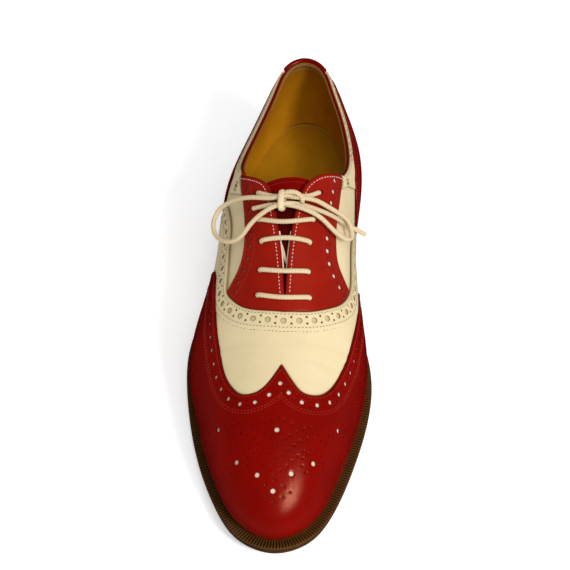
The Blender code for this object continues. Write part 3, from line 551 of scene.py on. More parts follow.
def collar_half(side, count):
    """Collar edge of one side from its front corner to the back of the heel, with its outline."""
    edge = edge_between(side, COLLAR_FRONT, LAST.low, count)
    return at_height(edge, collar_height), edge


def throat_half(side, start, count):
    """Throat and slit edge of one side, from a station to the end of the slit."""
    corner = collar_half(side, 3)[0][0]
    rows = on_plan([(throat_lateral(r[0]) if side < 0 else throat_medial(r[0]), r[0]) for r in THROAT])
    end = on_plan([(0, SLIT_END)])
    curve = np.vstack([smooth(np.vstack([corner, rows]), THROAT_POINTS), end])
    curve = curve[curve[:, 1] >= start]
    return along(curve, np.linspace(0, 1, count))


print("front corner of the collar", np.round(collar_half(-1, 3)[0][0], 1).tolist())

# %% [markdown]
# ## Finishes
# Smooth calf has fine pores, a slow change of colour and a soft gloss. Several leathers share
# these effects, so each effect is one node group with named sockets, and each leather sets its own
# values. A point attribute called edge mixes in a darker edge colour: on cut edges it is the
# leather's own edge colour, and on punched rims, down the walls of holes and in grooves it is painted
# shade.

# %% node helpers
def add(tree, kind, sockets=None, **settings):
    """New node with its settings and the values of its sockets."""
    node = tree.nodes.new(kind)
    for key, value in settings.items():
        setattr(node, key, value)
    for key, value in (sockets or {}).items():
        node.inputs[key].default_value = value
    return node


def blend(tree, share, first, second):
    """Mix of two colours; share and colours are sockets or plain values."""
    node = add(tree, "ShaderNodeMix", data_type="RGBA")
    for key, value in ((0, share), (6, first), (7, second)):
        if hasattr(value, "is_output"):
            tree.links.new(value, node.inputs[key])
        else:
            node.inputs[key].default_value = value
    return node.outputs[2]


def scale_range(tree, value, low, high, to_low, to_high):
    node = add(tree, "ShaderNodeMapRange", {1: low, 2: high, 3: to_low, 4: to_high})
    tree.links.new(value, node.inputs[0])
    return node.outputs[0]


def new_group(name, inputs, outputs):
    group = bpy.data.node_groups.new(name, "ShaderNodeTree")
    for label, value in inputs:
        socket = group.interface.new_socket(label, in_out="INPUT", socket_type="NodeSocketFloat")
        socket.default_value = value
    for label in outputs:
        group.interface.new_socket(label, in_out="OUTPUT", socket_type="NodeSocketFloat")
    return group, group.nodes.new("NodeGroupInput"), group.nodes.new("NodeGroupOutput")


# %% group of leather pores and slow colour change
leather, given, put = new_group("leather_skin", [("Pore Scale", 1900.0)], ["Pores", "Mottle", "Streaks"])
coords = add(leather, "ShaderNodeTexCoord")
cells = add(leather, "ShaderNodeTexVoronoi", feature="DISTANCE_TO_EDGE")
leather.links.new(coords.outputs["Object"], cells.inputs["Vector"])
leather.links.new(given.outputs["Pore Scale"], cells.inputs["Scale"])
pores = scale_range(leather, cells.outputs["Distance"], 0.0, 0.22, 0.0, 1.0)
slow = add(leather, "ShaderNodeTexNoise", {"Scale": 38.0, "Detail": 5.0, "Roughness": 0.6})
leather.links.new(coords.outputs["Object"], slow.inputs["Vector"])
drawn = add(leather, "ShaderNodeMapping", {"Scale": (18.0, 260.0, 120.0)})
leather.links.new(coords.outputs["Object"], drawn.inputs["Vector"])
streaks = add(leather, "ShaderNodeTexNoise", {"Scale": 1.0, "Detail": 3.0, "Roughness": 0.55})
leather.links.new(drawn.outputs["Vector"], streaks.inputs["Vector"])
leather.links.new(pores, put.inputs["Pores"])
leather.links.new(scale_range(leather, slow.outputs[0], 0.3, 0.7, 0.0, 1.0), put.inputs["Mottle"])
leather.links.new(scale_range(leather, streaks.outputs[0], 0.35, 0.65, 0.0, 1.0), put.inputs["Streaks"])
print("group", leather.name)

# %% group of scuffs
scuffs, given, put = new_group("scuffs", [("Scale", 90.0), ("Above", 0.64)], ["Mask"])
coords = add(scuffs, "ShaderNodeTexCoord")
spots = add(scuffs, "ShaderNodeTexNoise", {"Detail": 8.0, "Roughness": 0.7})
scuffs.links.new(coords.outputs["Object"], spots.inputs["Vector"])
scuffs.links.new(given.outputs["Scale"], spots.inputs["Scale"])
over = add(scuffs, "ShaderNodeMath", operation="SUBTRACT")
scuffs.links.new(spots.outputs[0], over.inputs[0])
scuffs.links.new(given.outputs["Above"], over.inputs[1])
scuffs.links.new(scale_range(scuffs, over.outputs[0], 0.0, 0.08, 0.0, 1.0), put.inputs["Mask"])
print("group", scuffs.name)

# %% [markdown]
# ## Leathers, rubber and thread
# One function makes every leather: a light and a dark tone mixed by the slow colour change, an
# edge tone on cut edges that is also painted shade in holes and grooves, a few scuffs, and a bump
# of pores and streaks. The red calf is polished with a red wax, which tints its shine, the lining
# is matt, and the sole edge is waxed. Each seam has a thread of its own colour.

# %% leathers
def finish(
    name, light, dark, edge, scuff, rough, bump=0.12, streak=0.3, gloss=0.25, pore=1900.0, above=0.66,
    tint=None,
):
    """Leather from its light, dark, edge and scuff colours and its roughness range; the edge colour also
    gives painted shade.
    """
    made = bpy.data.materials.new(name)
    made.use_nodes = True
    tree = made.node_tree
    shader = tree.nodes["Principled BSDF"]
    skin = add(tree, "ShaderNodeGroup", node_tree=leather)
    skin.inputs["Pore Scale"].default_value = pore
    marks = add(tree, "ShaderNodeGroup", node_tree=scuffs)
    marks.inputs["Above"].default_value = above
    # The edge attribute mixes in the edge colour: the leather's own on cut edges, painted shade on hole
    # rims, hole walls and grooves.
    rim = add(tree, "ShaderNodeAttribute", attribute_name="edge")
    tone = blend(tree, skin.outputs["Mottle"], (*dark, 1), (*light, 1))
    worn = blend(tree, marks.outputs["Mask"], tone, (*scuff, 1))
    tree.links.new(blend(tree, rim.outputs["Fac"], worn, (*edge, 1)), shader.inputs["Base Color"])
    dullness = scale_range(tree, skin.outputs["Mottle"], 0.0, 1.0, rough[1], rough[0])
    tree.links.new(dullness, shader.inputs["Roughness"])
    relief = add(tree, "ShaderNodeMath", operation="MULTIPLY_ADD")
    tree.links.new(skin.outputs["Streaks"], relief.inputs[0])
    relief.inputs[1].default_value = streak
    tree.links.new(skin.outputs["Pores"], relief.inputs[2])
    push = add(tree, "ShaderNodeBump", {"Strength": bump, "Distance": 0.0002})
    tree.links.new(relief.outputs[0], push.inputs["Height"])
    tree.links.new(push.outputs["Normal"], shader.inputs["Normal"])
    shader.inputs["Specular IOR Level"].default_value = gloss
    if tint:
        shader.inputs["Specular Tint"].default_value = (*tint, 1)
    return made


WAX_TINT = (1.0, 0.45, 0.28)
RED = finish(
    "red_leather", (0.200, 0.0016, 0.0005), (0.148, 0.0009, 0.0003), (0.060, 0.0008, 0.0004),
    (0.24, 0.006, 0.003), (0.20, 0.26), bump=0.10, streak=0.5, gloss=0.30, above=0.71, tint=WAX_TINT,
)
# The facing is the red calf painted lighter and more orange: a painted sheen of the light falling on it.
FACING_RED_LIT = finish(
    "facing_leather", (0.275, 0.0085, 0.0030), (0.215, 0.0045, 0.0015), (0.070, 0.0012, 0.0006),
    (0.32, 0.014, 0.006), (0.30, 0.36), bump=0.12, streak=0.5, gloss=0.30, above=0.70, tint=WAX_TINT,
)
CREAM = finish(
    "cream_leather", (0.67, 0.555, 0.335), (0.61, 0.495, 0.288), (0.26, 0.18, 0.085),
    (0.52, 0.42, 0.24), (0.38, 0.50), bump=0.12, streak=0.9, gloss=0.12, above=0.69,
)
BACKING = finish(
    "cream_backing", (0.71, 0.59, 0.47), (0.63, 0.51, 0.39), (0.45, 0.34, 0.21),
    (0.66, 0.55, 0.42), (0.55, 0.65), gloss=0.1,
)
ROSE_BACKING = finish(
    "rose_backing", (0.36, 0.075, 0.045), (0.29, 0.055, 0.032), (0.16, 0.020, 0.012),
    (0.34, 0.085, 0.050), (0.55, 0.65), gloss=0.1,
)
LINING = finish(
    "lining_leather", (0.46, 0.193, 0.005), (0.35, 0.134, 0.003), (0.22, 0.082, 0.004),
    (0.26, 0.095, 0.004), (0.52, 0.66), bump=0.16, streak=0.3, gloss=0.05, pore=1400.0, above=0.69,
)
SOCK = finish(
    "sock_leather", (0.37, 0.168, 0.005), (0.30, 0.128, 0.003), (0.40, 0.200, 0.030),
    (0.30, 0.115, 0.004), (0.50, 0.62), bump=0.16, streak=0.3, gloss=0.05, pore=1400.0, above=0.68,
)
GRIP = finish(
    "heel_grip_leather", (0.37, 0.190, 0.060), (0.27, 0.130, 0.036), (0.17, 0.075, 0.018),
    (0.20, 0.090, 0.022), (0.55, 0.68), bump=0.25, gloss=0.05, pore=1300.0, above=0.62,
)
WELT = finish(
    "welt_leather", (0.135, 0.054, 0.010), (0.092, 0.034, 0.006), (0.005, 0.0020, 0.0006),
    (0.17, 0.080, 0.022), (0.46, 0.60), bump=0.18, gloss=0.06, pore=1200.0, above=0.70,
)
SOLE_LEATHER = finish(
    "sole_leather", (0.075, 0.032, 0.011), (0.046, 0.019, 0.006), (0.022, 0.009, 0.003),
    (0.12, 0.060, 0.024), (0.36, 0.55), bump=0.20, streak=0.6, gloss=0.15, pore=1100.0, above=0.66,
)
RUBBER = finish(
    "heel_rubber", (0.016, 0.015, 0.014), (0.009, 0.009, 0.008), (0.03, 0.028, 0.026),
    (0.05, 0.047, 0.043), (0.70, 0.85), bump=0.25, pore=900.0, above=0.64,
)
LACE = finish(
    "lace_cotton", (0.74, 0.61, 0.40), (0.65, 0.51, 0.31), (0.36, 0.26, 0.135),
    (0.56, 0.44, 0.27), (0.75, 0.88), bump=0.30, gloss=0.08, pore=2600.0,
)
THREADS = {
    "pale": finish(
        "thread_pale", (0.75, 0.45, 0.40), (0.62, 0.33, 0.28), (0.5, 0.28, 0.22),
        (0.5, 0.25, 0.2), (0.6, 0.75), gloss=0.1,
    ),
    "red": finish(
        "thread_red", (0.34, 0.034, 0.020), (0.27, 0.018, 0.010), (0.15, 0.006, 0.006),
        (0.22, 0.012, 0.012), (0.45, 0.6), gloss=0.1,
    ),
    "cream": finish(
        "thread_tan", (0.21, 0.165, 0.095), (0.14, 0.105, 0.058), (0.1, 0.07, 0.04),
        (0.12, 0.09, 0.05), (0.6, 0.75), gloss=0.1,
    ),
    "lining": finish(
        "thread_lining", (0.52, 0.27, 0.06), (0.42, 0.20, 0.035), (0.25, 0.12, 0.02),
        (0.25, 0.12, 0.02), (0.6, 0.75), gloss=0.05,
    ),
}
print("finishes", len(bpy.data.materials))

# %% [markdown]
# ## Pieces
# Every piece starts as points in millimetres on the last. One function brings them into the
# part's frame, makes the mesh and marks its edges. It also says what the piece rides on and which
# solids it stands for.

# %% piece maker
SHARP = 0.8
WELD_WITHIN = 1e-7


def make_piece(name, points, faces, paint, slot, nodes=(), edge=None, sharp=SHARP, weld=False):
    """Piece in the part's frame from points in millimetres on the last, riding on the shoe."""
    mesh = bpy.data.meshes.new(name)
    mesh.from_pydata(world(points).tolist(), [], [tuple(int(k) for k in face) for face in faces])
    shape = bmesh.new()
    shape.from_mesh(mesh)
    if weld:
        bmesh.ops.remove_doubles(shape, verts=shape.verts, dist=WELD_WITHIN)
    bmesh.ops.recalc_face_normals(shape, faces=shape.faces)
    shape.to_mesh(mesh)
    shape.free()
    mesh.shade_smooth()
    mesh.set_sharp_from_angle(angle=sharp)
    if edge is not None:
        mark = mesh.attributes.new("edge", "FLOAT", "POINT")
        mark.data.foreach_set("value", np.asarray(edge, np.float32))
    piece = bpy.data.objects.new(name, mesh)
    bpy.context.scene.collection.objects.link(piece)
    mesh.materials.append(paint)
    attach(piece, "root")
    if nodes:
        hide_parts(*nodes)
    print(name, "faces", len(mesh.polygons))
    return piece


def grid_faces(columns_count, rows_count, close_columns=False, close_rows=False):
    """Quads of a grid of points stored column by column."""
    faces = []
    for i in range(columns_count if close_columns else columns_count - 1):
        for j in range(rows_count if close_rows else rows_count - 1):
            a, b = i * rows_count, (i + 1) % columns_count * rows_count
            k = (j + 1) % rows_count
            faces.append((a + j, a + k, b + k, b + j))
    return faces


def tube_faces(count, sides):
    """Faces of a tube of rings stored one after the other, with both ends closed."""
    last = (count - 1) * sides
    caps = [tuple(range(sides)), tuple(range(last, last + sides))]
    return grid_faces(count, sides, close_rows=True) + caps


def full_turn(sides):
    return np.linspace(0, 2 * np.pi, sides, endpoint=False)


def unit(vectors):
    return vectors / np.maximum(np.linalg.norm(vectors, axis=-1), 1e-9)[..., None]


# %% [markdown]
# ## Lace
# A round cotton lace runs straight across between the lower eyelets and comes up through the top
# pair to be tied in a bow. Each half of the lace is one free cord: it leaves its top eyelet, goes
# through the knot, makes the loop on the far side and comes back as a loose end. A tube is swept
# along each route with a shallow braid in its skin, because a plain bevel would look like wire.

# %% swept tubes
def carried_frames(route):
    """Two crossing directions along a route, turned as little as possible."""
    ahead = unit(np.gradient(route, axis=0))
    side = unit(np.cross(ahead[0], [0.3, 0.2, 1.0]))
    sides = []
    for direction in ahead:
        side = unit(side - direction * np.dot(side, direction))
        sides.append(side)
    sides = np.array(sides)
    return sides, np.cross(ahead, sides)


LACE_SIDES = 20
LACE_STEP = 0.55
BRAID_DEPTH = 0.045
BRAID_STRANDS = 5
BRAID_PITCH = 3.2
# Painted shade in the grooves of the braid.
GROOVE_SHADE = 0.30
END_TAPER = (0.5, 0.72)


def braided(route):
    """Points, faces and marks of painted shade in the grooves of a braided tube along a dense route."""
    length = np.linalg.norm(np.diff(route, axis=0), axis=1).sum()
    route = along(route, np.linspace(0, 1, int(length / LACE_STEP) + 2))
    run = walked(route)
    side, up = carried_frames(route)
    turn = full_turn(LACE_SIDES)
    wave = 2 * np.pi * run[:, None] / BRAID_PITCH
    weave = np.cos(BRAID_STRANDS * turn + wave) * np.cos(BRAID_STRANDS * turn - wave)
    taper = np.clip(np.minimum(run, run[-1] - run) / END_TAPER[0], END_TAPER[1], 1)[:, None]
    radius = LACE_RADIUS * taper * (1 + BRAID_DEPTH * weave)
    ring = np.cos(turn)[None, :, None] * side[:, None] + np.sin(turn)[None, :, None] * up[:, None]
    points = route[:, None] + radius[..., None] * ring
    faces = tube_faces(len(route), LACE_SIDES)
    return points.reshape(-1, 3), faces, (GROOVE_SHADE - GROOVE_SHADE * weave).ravel(), route


def joined(shapes):
    """Points, faces and marks of several shapes as one."""
    points, faces, marks = [], [], []
    start = 0
    for shape in shapes:
        points.append(shape[0])
        faces += [tuple(k + start for k in face) for face in shape[1]]
        marks.append(shape[2])
        start += len(shape[0])
    return np.vstack(points), faces, np.concatenate(marks)


# %% routes of the lace
LACE_SLOT = "lace_cotton"
EYELET_STEM = [(0.0, -2.4), (0.0, -0.4), (0.15, 1.2), (0.9, 2.4), (2.3, 2.95)]
# The free cords leave their eyelets in a wider turn of two diameters.
CORD_STEM = [(0.0, -2.4), (0.3, -0.6), (1.2, 0.95), (2.6, 2.1), (4.3, 2.75)]
KNOT_UNDER = [(-1.3, 133.9, 4.6), (-1.3, 138.1, 4.6)]
KNOT_OVER = [(-1.3, 134.2, 7.0), (-1.3, 138.3, 6.9)]
BAR_ARCH = (2.4, 2.0, 0.2, 4.4)
BAR_SPAN = (0.18, 0.82)
CORD_POINTS = 500
BAR_POINTS = 300
EYELET_TABLE = np.array(EYELETS)


def eyelet_plan(side):
    return on_plan(EYELET_TABLE[:, [1 if side < 0 else 2, 0]])


def eyelet_stem(plan, towards, stem=EYELET_STEM):
    """Points of a lace coming up through an eyelet and bending over the facing."""
    start = drape(plan)
    normal = normals(plan)
    ahead = towards - start
    ahead = unit(ahead - normal * np.dot(ahead, normal))
    return np.array([start + ahead * out + normal * up for out, up in stem])


def lace_points(rows):
    rows = np.asarray(rows, float)
    return raised(on_plan(rows[:, :2]), rows[:, 2])


def tie(name, side, strand, knot, loop, end, nodes):
    """One half of the lace: strand, first pass of the knot, loop, second pass and loose end."""
    rows = strand + knot[:1] + loop + knot[1:] + end
    route = lace_points(rows)
    stem = eyelet_stem(eyelet_plan(side)[-1], route[0], CORD_STEM)
    points, faces, marks, path = braided(smooth(np.vstack([stem, route]), CORD_POINTS))
    piece = make_piece(name, points, faces, LACE, LACE_SLOT, nodes, marks)
    path = world(path)
    return piece


# %% bow
lateral_nodes = ("lace_strand_lateral", "lace_loop_medial", "lace_end_lateral")
medial_nodes = ("lace_strand_medial", "lace_loop_lateral", "lace_end_medial")
tie("lace_from_lateral", -1, STRAND_LATERAL, KNOT_UNDER, LOOP_MEDIAL, END_LATERAL, lateral_nodes)
tie("lace_from_medial", 1, STRAND_MEDIAL, KNOT_OVER, LOOP_LATERAL, END_MEDIAL, medial_nodes)

# %% [markdown]
# The knot is the lace itself, wrapped round the passes of the bow: one turn is pulled flat over the
# front, and a strand comes out of its top and arches to the side. That reads better than a ball.

# %% knot
WRAP_CENTRE = (-1.3, 136.1)
WRAP_LIFT = 5.5
WRAP_HALF = (5.0, 3.7)
WRAP_SECTION = (1.75, 0.95)
WRAP_SHIFT = -2.0
WRAP_SLANT = -0.06
SECOND_TURN = [
    (-2.3, 134.4, 6.2), (-1.4, 133.2, 8.0), (0.1, 132.7, 8.5), (1.5, 133.4, 7.9), (2.4, 135.2, 6.4),
    (2.5, 136.4, 4.4),
]
WRAP_SIDES = 14
WRAP_STEPS = 64
WRAP_SQUARE = 0.8
TURN_POINTS = 120


def wrap_turn(shift, slant):
    """One flat turn of lace round the bow, as a closed ring of flattened sections."""
    plan = on_plan([WRAP_CENTRE])
    normal = normals(plan)[0]
    ahead = unit(np.array([0, 1.0, 0]) - normal * normal[1])
    across = np.cross(ahead, normal)
    centre = raised(plan, WRAP_LIFT)[0] + across * shift
    turn = full_turn(WRAP_STEPS)[:, None]
    round_turn = np.sign(np.cos(turn)) * abs(np.cos(turn)) ** WRAP_SQUARE
    over_turn = np.sign(np.sin(turn)) * abs(np.sin(turn)) ** WRAP_SQUARE
    path = centre + WRAP_HALF[0] * round_turn * (ahead + slant * across)
    path = path + WRAP_HALF[1] * over_turn * normal
    tangent = unit(np.roll(path, -1, axis=0) - np.roll(path, 1, axis=0))
    out = unit(np.cross(across, tangent))
    around = full_turn(WRAP_SIDES)[None, :, None]
    points = path[:, None] + WRAP_SECTION[0] * np.cos(around) * across
    points = points + WRAP_SECTION[1] * np.sin(around) * out[:, None]
    # The marks darken both edges of the flat turn as painted shade.
    marks = np.broadcast_to(0.25 * np.cos(around[..., 0]) ** 2, points.shape[:2]).ravel()
    return points.reshape(-1, 3), grid_faces(WRAP_STEPS, WRAP_SIDES, True, True), marks


second_turn = braided(smooth(lace_points(SECOND_TURN), TURN_POINTS))[:3]
points, faces, marks = joined([wrap_turn(WRAP_SHIFT, WRAP_SLANT), second_turn])
make_piece("lace_knot_wraps", points, faces, LACE, LACE_SLOT, ("lace_knot",), marks)

# %% [markdown]
# The bars go down through the eyelets, and under the facing the lace runs up to the next eyelet,
# pressed flat by the tongue. One run crosses the slit between the facings and shows there.

# %% bars and the runs under the facing
UNDER_LIFT = -2.5
UNDER_HALF = (0.85, 0.36)
UNDER_POINTS = 40
# The runs under the facing are painted darker: painted shade between the facing and the tongue.
UNDER_SHADE = 0.35
UNDER_CROSSING = [
    (-9.3, 142.0), (-5.5, 149.5), (-3.0, 155.5), (-1.6, 161.0), (-0.2, 166.0), (2.4, 169.0),
    (6.6, 169.5),
]


def bar(k):
    """Lace straight across from one eyelet of a pair to the other."""
    lateral, medial = eyelet_plan(-1)[k], eyelet_plan(1)[k]
    shares = np.linspace(*BAR_SPAN, 7)
    plan = lateral + np.outer(shares, medial - lateral)
    plan[:, 1] += BAR_ARCH[k] * np.sin(np.pi * shares)
    over = raised(plan, BAR_LIFT)
    start = eyelet_stem(lateral, over[0])
    end = eyelet_stem(medial, over[-1])[::-1]
    return braided(smooth(np.vstack([start, over, end]), BAR_POINTS))[:3]


def under_run(plan):
    """Flat run of lace between the facing and the tongue."""
    middle = raised(plan, UNDER_LIFT)
    normal = normals(plan)
    side = unit(np.cross(normal, np.gradient(middle, axis=0)))
    around = full_turn(WRAP_SIDES)[None, :, None]
    points = middle[:, None] + UNDER_HALF[0] * np.cos(around) * side[:, None]
    points = points + UNDER_HALF[1] * np.sin(around) * normal[:, None]
    faces = tube_faces(UNDER_POINTS, WRAP_SIDES)
    return points.reshape(-1, 3), faces, np.full(UNDER_POINTS * WRAP_SIDES, UNDER_SHADE)


for k in range(len(EYELETS) - 1):
    points, faces, marks = bar(k)
    make_piece(f"lace_bar_over_{k + 1}", points, faces, LACE, LACE_SLOT, (f"lace_bar_{k + 1}",), marks)
left, right = eyelet_plan(-1), eyelet_plan(1)
UNDER_PAIRS = ((left[0], left[1]), (right[2], right[3]))
runs = [under_run(np.linspace(first, second, UNDER_POINTS)) for first, second in UNDER_PAIRS]
runs.append(under_run(smooth(on_plan(UNDER_CROSSING), UNDER_POINTS)))
points, faces, marks = joined(runs)
make_piece("lace_runs_under", points, faces, LACE, LACE_SLOT, edge=marks)

# %% [markdown]
# ## Panels with punched holes
# The panels of a brogue are cut flat and punched before they are sewn. They are made the same way
# here: the outline and the holes are drawn in a flat chart, triangulated there, then draped on the
# last with their thickness. The front panels use offset and station as the chart, the rear ones
# use the way round the heel and the way down the side.

# %% charts
ACROSS_STRETCH = 2.0
TOE_START = 250.0
TOE_STRETCH = 1.7
RIB_STRETCH = 105.0


class FrontChart:
    """Offset from the ridge and station, stretched to be near the true lengths on the last."""

    @staticmethod
    def plan(flat):
        over = np.maximum(flat[..., 1] - TOE_START, 0)
        station = flat[..., 1] - over * (1 - 1 / TOE_STRETCH)
        return np.stack([flat[..., 0] / ACROSS_STRETCH + ridge_across(station), station], -1)

    @staticmethod
    def flat(plan):
        station = plan[..., 1]
        ahead = station + np.maximum(station - TOE_START, 0) * (TOE_STRETCH - 1)
        return np.stack([(plan[..., 0] - ridge_across(station)) * ACROSS_STRETCH, ahead], -1)


def branch_run(side):
    branch = LAST.branch(side)
    return branch[:, 1], walked(branch)


class RearChart:
    """Way round the heel, lateral below zero, and way down the side."""

    @staticmethod
    def plan(flat):
        edge = heel_edge(flat[..., 0].ravel())
        root = rib_root(edge)
        share = flat[..., 1].ravel() / RIB_STRETCH
        return (root + share[:, None] * (edge - root)).reshape(flat.shape)

    @staticmethod
    def flat(plan):
        root = rib_root(plan)
        length = np.linalg.norm(plan - root, axis=1)
        away = (plan - root) / length[:, None]
        reach = reach_along(root[:, 0], root[:, 1], away[:, 0], away[:, 1])
        station = root[:, 1] + away[:, 1] * reach
        lateral, medial = (np.interp(station, *branch_run(side)) for side in (-1, 1))
        return np.stack([np.where(away[:, 0] < 0, -lateral, medial), length / reach * RIB_STRETCH], -1)


def rear_rows(edge, height):
    """Chart points on the ribs of these outline points at a height of the last."""
    plan = at_height(edge, height)
    root = rib_root(edge)
    share = np.linalg.norm(plan - root, axis=1) / np.linalg.norm(edge - root, axis=1)
    return share * RIB_STRETCH


print("heel strip ends at", np.round(heel_edge(np.array([HEEL_STRIP_TOP]))[0], 1).tolist())

# %% [markdown]
# Holes and seams keep even distances on the leather, not in the chart. These functions measure on
# the last: even points along a curve, a curve beside another, pinholes between the holes of a row.

# %% distances on the leather
BESIDE_STEP = 3.0
BESIDE_CLEAR = 0.95
LEAST_STRETCH = 0.01


def stretch(chart, flat, step=0.05):
    """Matrices that turn millimetres on the last into the chart, at chart points."""
    one, two = np.array([step, 0]), np.array([0, step])
    across = (drape(chart.plan(flat + one)) - drape(chart.plan(flat - one))) / (2 * step)
    ahead = (drape(chart.plan(flat + two)) - drape(chart.plan(flat - two))) / (2 * step)
    both = np.stack([across, ahead], -2)
    size, turn = np.linalg.eigh(np.einsum("nik,njk->nij", both, both))
    return np.einsum("nij,nj,nkj->nik", turn, np.maximum(size, LEAST_STRETCH) ** -0.5, turn)


def left_of(ahead):
    return unit(np.stack([-ahead[:, 1], ahead[:, 0]], -1))


def run_of(chart, curve):
    return walked(drape(chart.plan(curve)))


def evenly(chart, curve, spacing, start=0.0):
    """Chart points at even distances on the last along a curve."""
    run = run_of(chart, curve)
    stops = np.arange(start, run[-1] + 1e-6, spacing)
    return take(curve, np.interp(stops, run, np.arange(len(curve))))


def beside(chart, curve, distance):
    """Curve moved to its left by a distance on the last, without the loops in sharp corners."""
    solid = drape(chart.plan(curve))
    steps = int(abs(distance) / BESIDE_STEP) + 1
    moved = curve
    for k in range(1, steps + 1):
        matrix = stretch(chart, moved)
        ahead = np.einsum("nij,nj->ni", np.linalg.inv(matrix), np.gradient(moved, axis=0))
        left = left_of(ahead)
        moved = moved + distance / steps * np.einsum("nij,nj->ni", matrix, left)
        gap = drape(chart.plan(moved))[:, None] - solid[None]
        clear = BESIDE_CLEAR * abs(distance) * k / steps
        moved = moved[np.linalg.norm(gap, axis=-1).min(1) > clear]
    return moved


def between_holes(points):
    """Places halfway between neighbours of a row, with the direction of the row."""
    return (points[1:] + points[:-1]) / 2, points[1:] - points[:-1]


def pin_pairs(chart, row, apart):
    """Pairs of pinholes across a row, halfway between its holes."""
    middle, ahead = between_holes(row)
    matrix = stretch(chart, middle)
    along_row = np.einsum("nij,nj->ni", np.linalg.inv(matrix), ahead)
    left = left_of(along_row)
    step = apart / 2 * np.einsum("nij,nj->ni", matrix, left)
    return np.vstack([middle + step, middle - step])


def apart(chart, points, others, least):
    """Points of a list that keep a distance on the last from others and from each other."""
    kept = [row for row in drape(chart.plan(others))]
    chosen = []
    for flat, solid in zip(points, drape(chart.plan(points))):
        if np.linalg.norm(np.array(kept) - solid, axis=1).min() > least:
            kept.append(solid)
            chosen.append(flat)
    return np.array(chosen)


def holes_of(points, radius):
    return np.c_[points, np.full(len(points), radius)]


# %% [markdown]
# A panel is drawn as one closed ring in its chart, and its holes keep their round shape on the
# leather, so each is stretched in the chart by as much as the last stretches it back.

# %% rings and holes in the chart
HOLE_SIDES = 12
PIN_SIDES = 6
PIN_LIMIT = 0.8
RING_STEP = 1.0
ROUNDING = ((0.0, 0.45), (0.3, 0.86), (0.8, 1.0))
TOP_HOLE_SHARE = 0.93
EDGE_TONE = 0.75
EDGE_FADE = 0.3
NEAR_HOLE = 1.05
FAR_FROM_HOLES = 9.0
HOLE_WINDOW = 8
HOLE_COLLARS = (1.22, 1.6)
ROW_SHARE = 0.87
GRID_CLEAR = 1.3
EDGE_CLEAR = 0.25
HOLE_CLEAR = 1.15
MESH_WITHIN = 1e-5
BACKING_THICK = 0.2
BACKING_GROW = 1.12
CHUNK = 1500


def within(points, ring):
    """True for points inside a closed ring."""
    a, b = ring, np.roll(ring, -1, axis=0)
    y = points[:, 1][:, None]
    crosses = (a[:, 1] > y) != (b[:, 1] > y)
    slope = (b[:, 0] - a[:, 0]) / np.where(a[:, 1] == b[:, 1], 1e-9, b[:, 1] - a[:, 1])
    return (crosses & (points[:, 0][:, None] < a[:, 0] + (y - a[:, 1]) * slope)).sum(1) % 2 == 1


def edge_distance(points, ring):
    """Distance from points to a closed ring."""
    a = ring
    ahead = np.roll(ring, -1, axis=0) - a
    size = np.maximum((ahead * ahead).sum(1), 1e-12)
    found = []
    for some in np.array_split(points, len(points) // CHUNK + 1):
        away = some[:, None] - a
        share = np.clip((away * ahead).sum(-1) / size, 0, 1)
        found.append(np.linalg.norm(away - share[..., None] * ahead, axis=-1).min(1))
    return np.concatenate(found)


def kept_inside(points, ring, margin):
    """Points inside a ring that keep a margin from it."""
    return points[within(points, ring) & (edge_distance(points, ring) > margin)]


def ring_of(chart, *curves):
    """Closed outline from chart curves in order, parted evenly with their corners kept."""
    parts = []
    for curve in curves:
        run = run_of(chart, curve)
        count = max(2, int(run[-1] / RING_STEP) + 1)
        stops = np.interp(np.linspace(0, run[-1], count), run, np.arange(len(curve)))
        parts.append(take(curve, stops)[:-1])
    return np.vstack(parts)


def hole_rings(matrix, holes, sides, grow=1.0):
    turn = full_turn(sides)
    circle = np.stack([np.cos(turn), np.sin(turn)], -1) * grow
    return holes[:, None, :2] + holes[:, 2, None, None] * np.einsum("nij,kj->nki", matrix, circle)


# %% [markdown]
# The flat panel is triangulated with extra points round its holes and along its edge, where it will
# be rounded, and an even grid of points in between, where it will bend over the last.

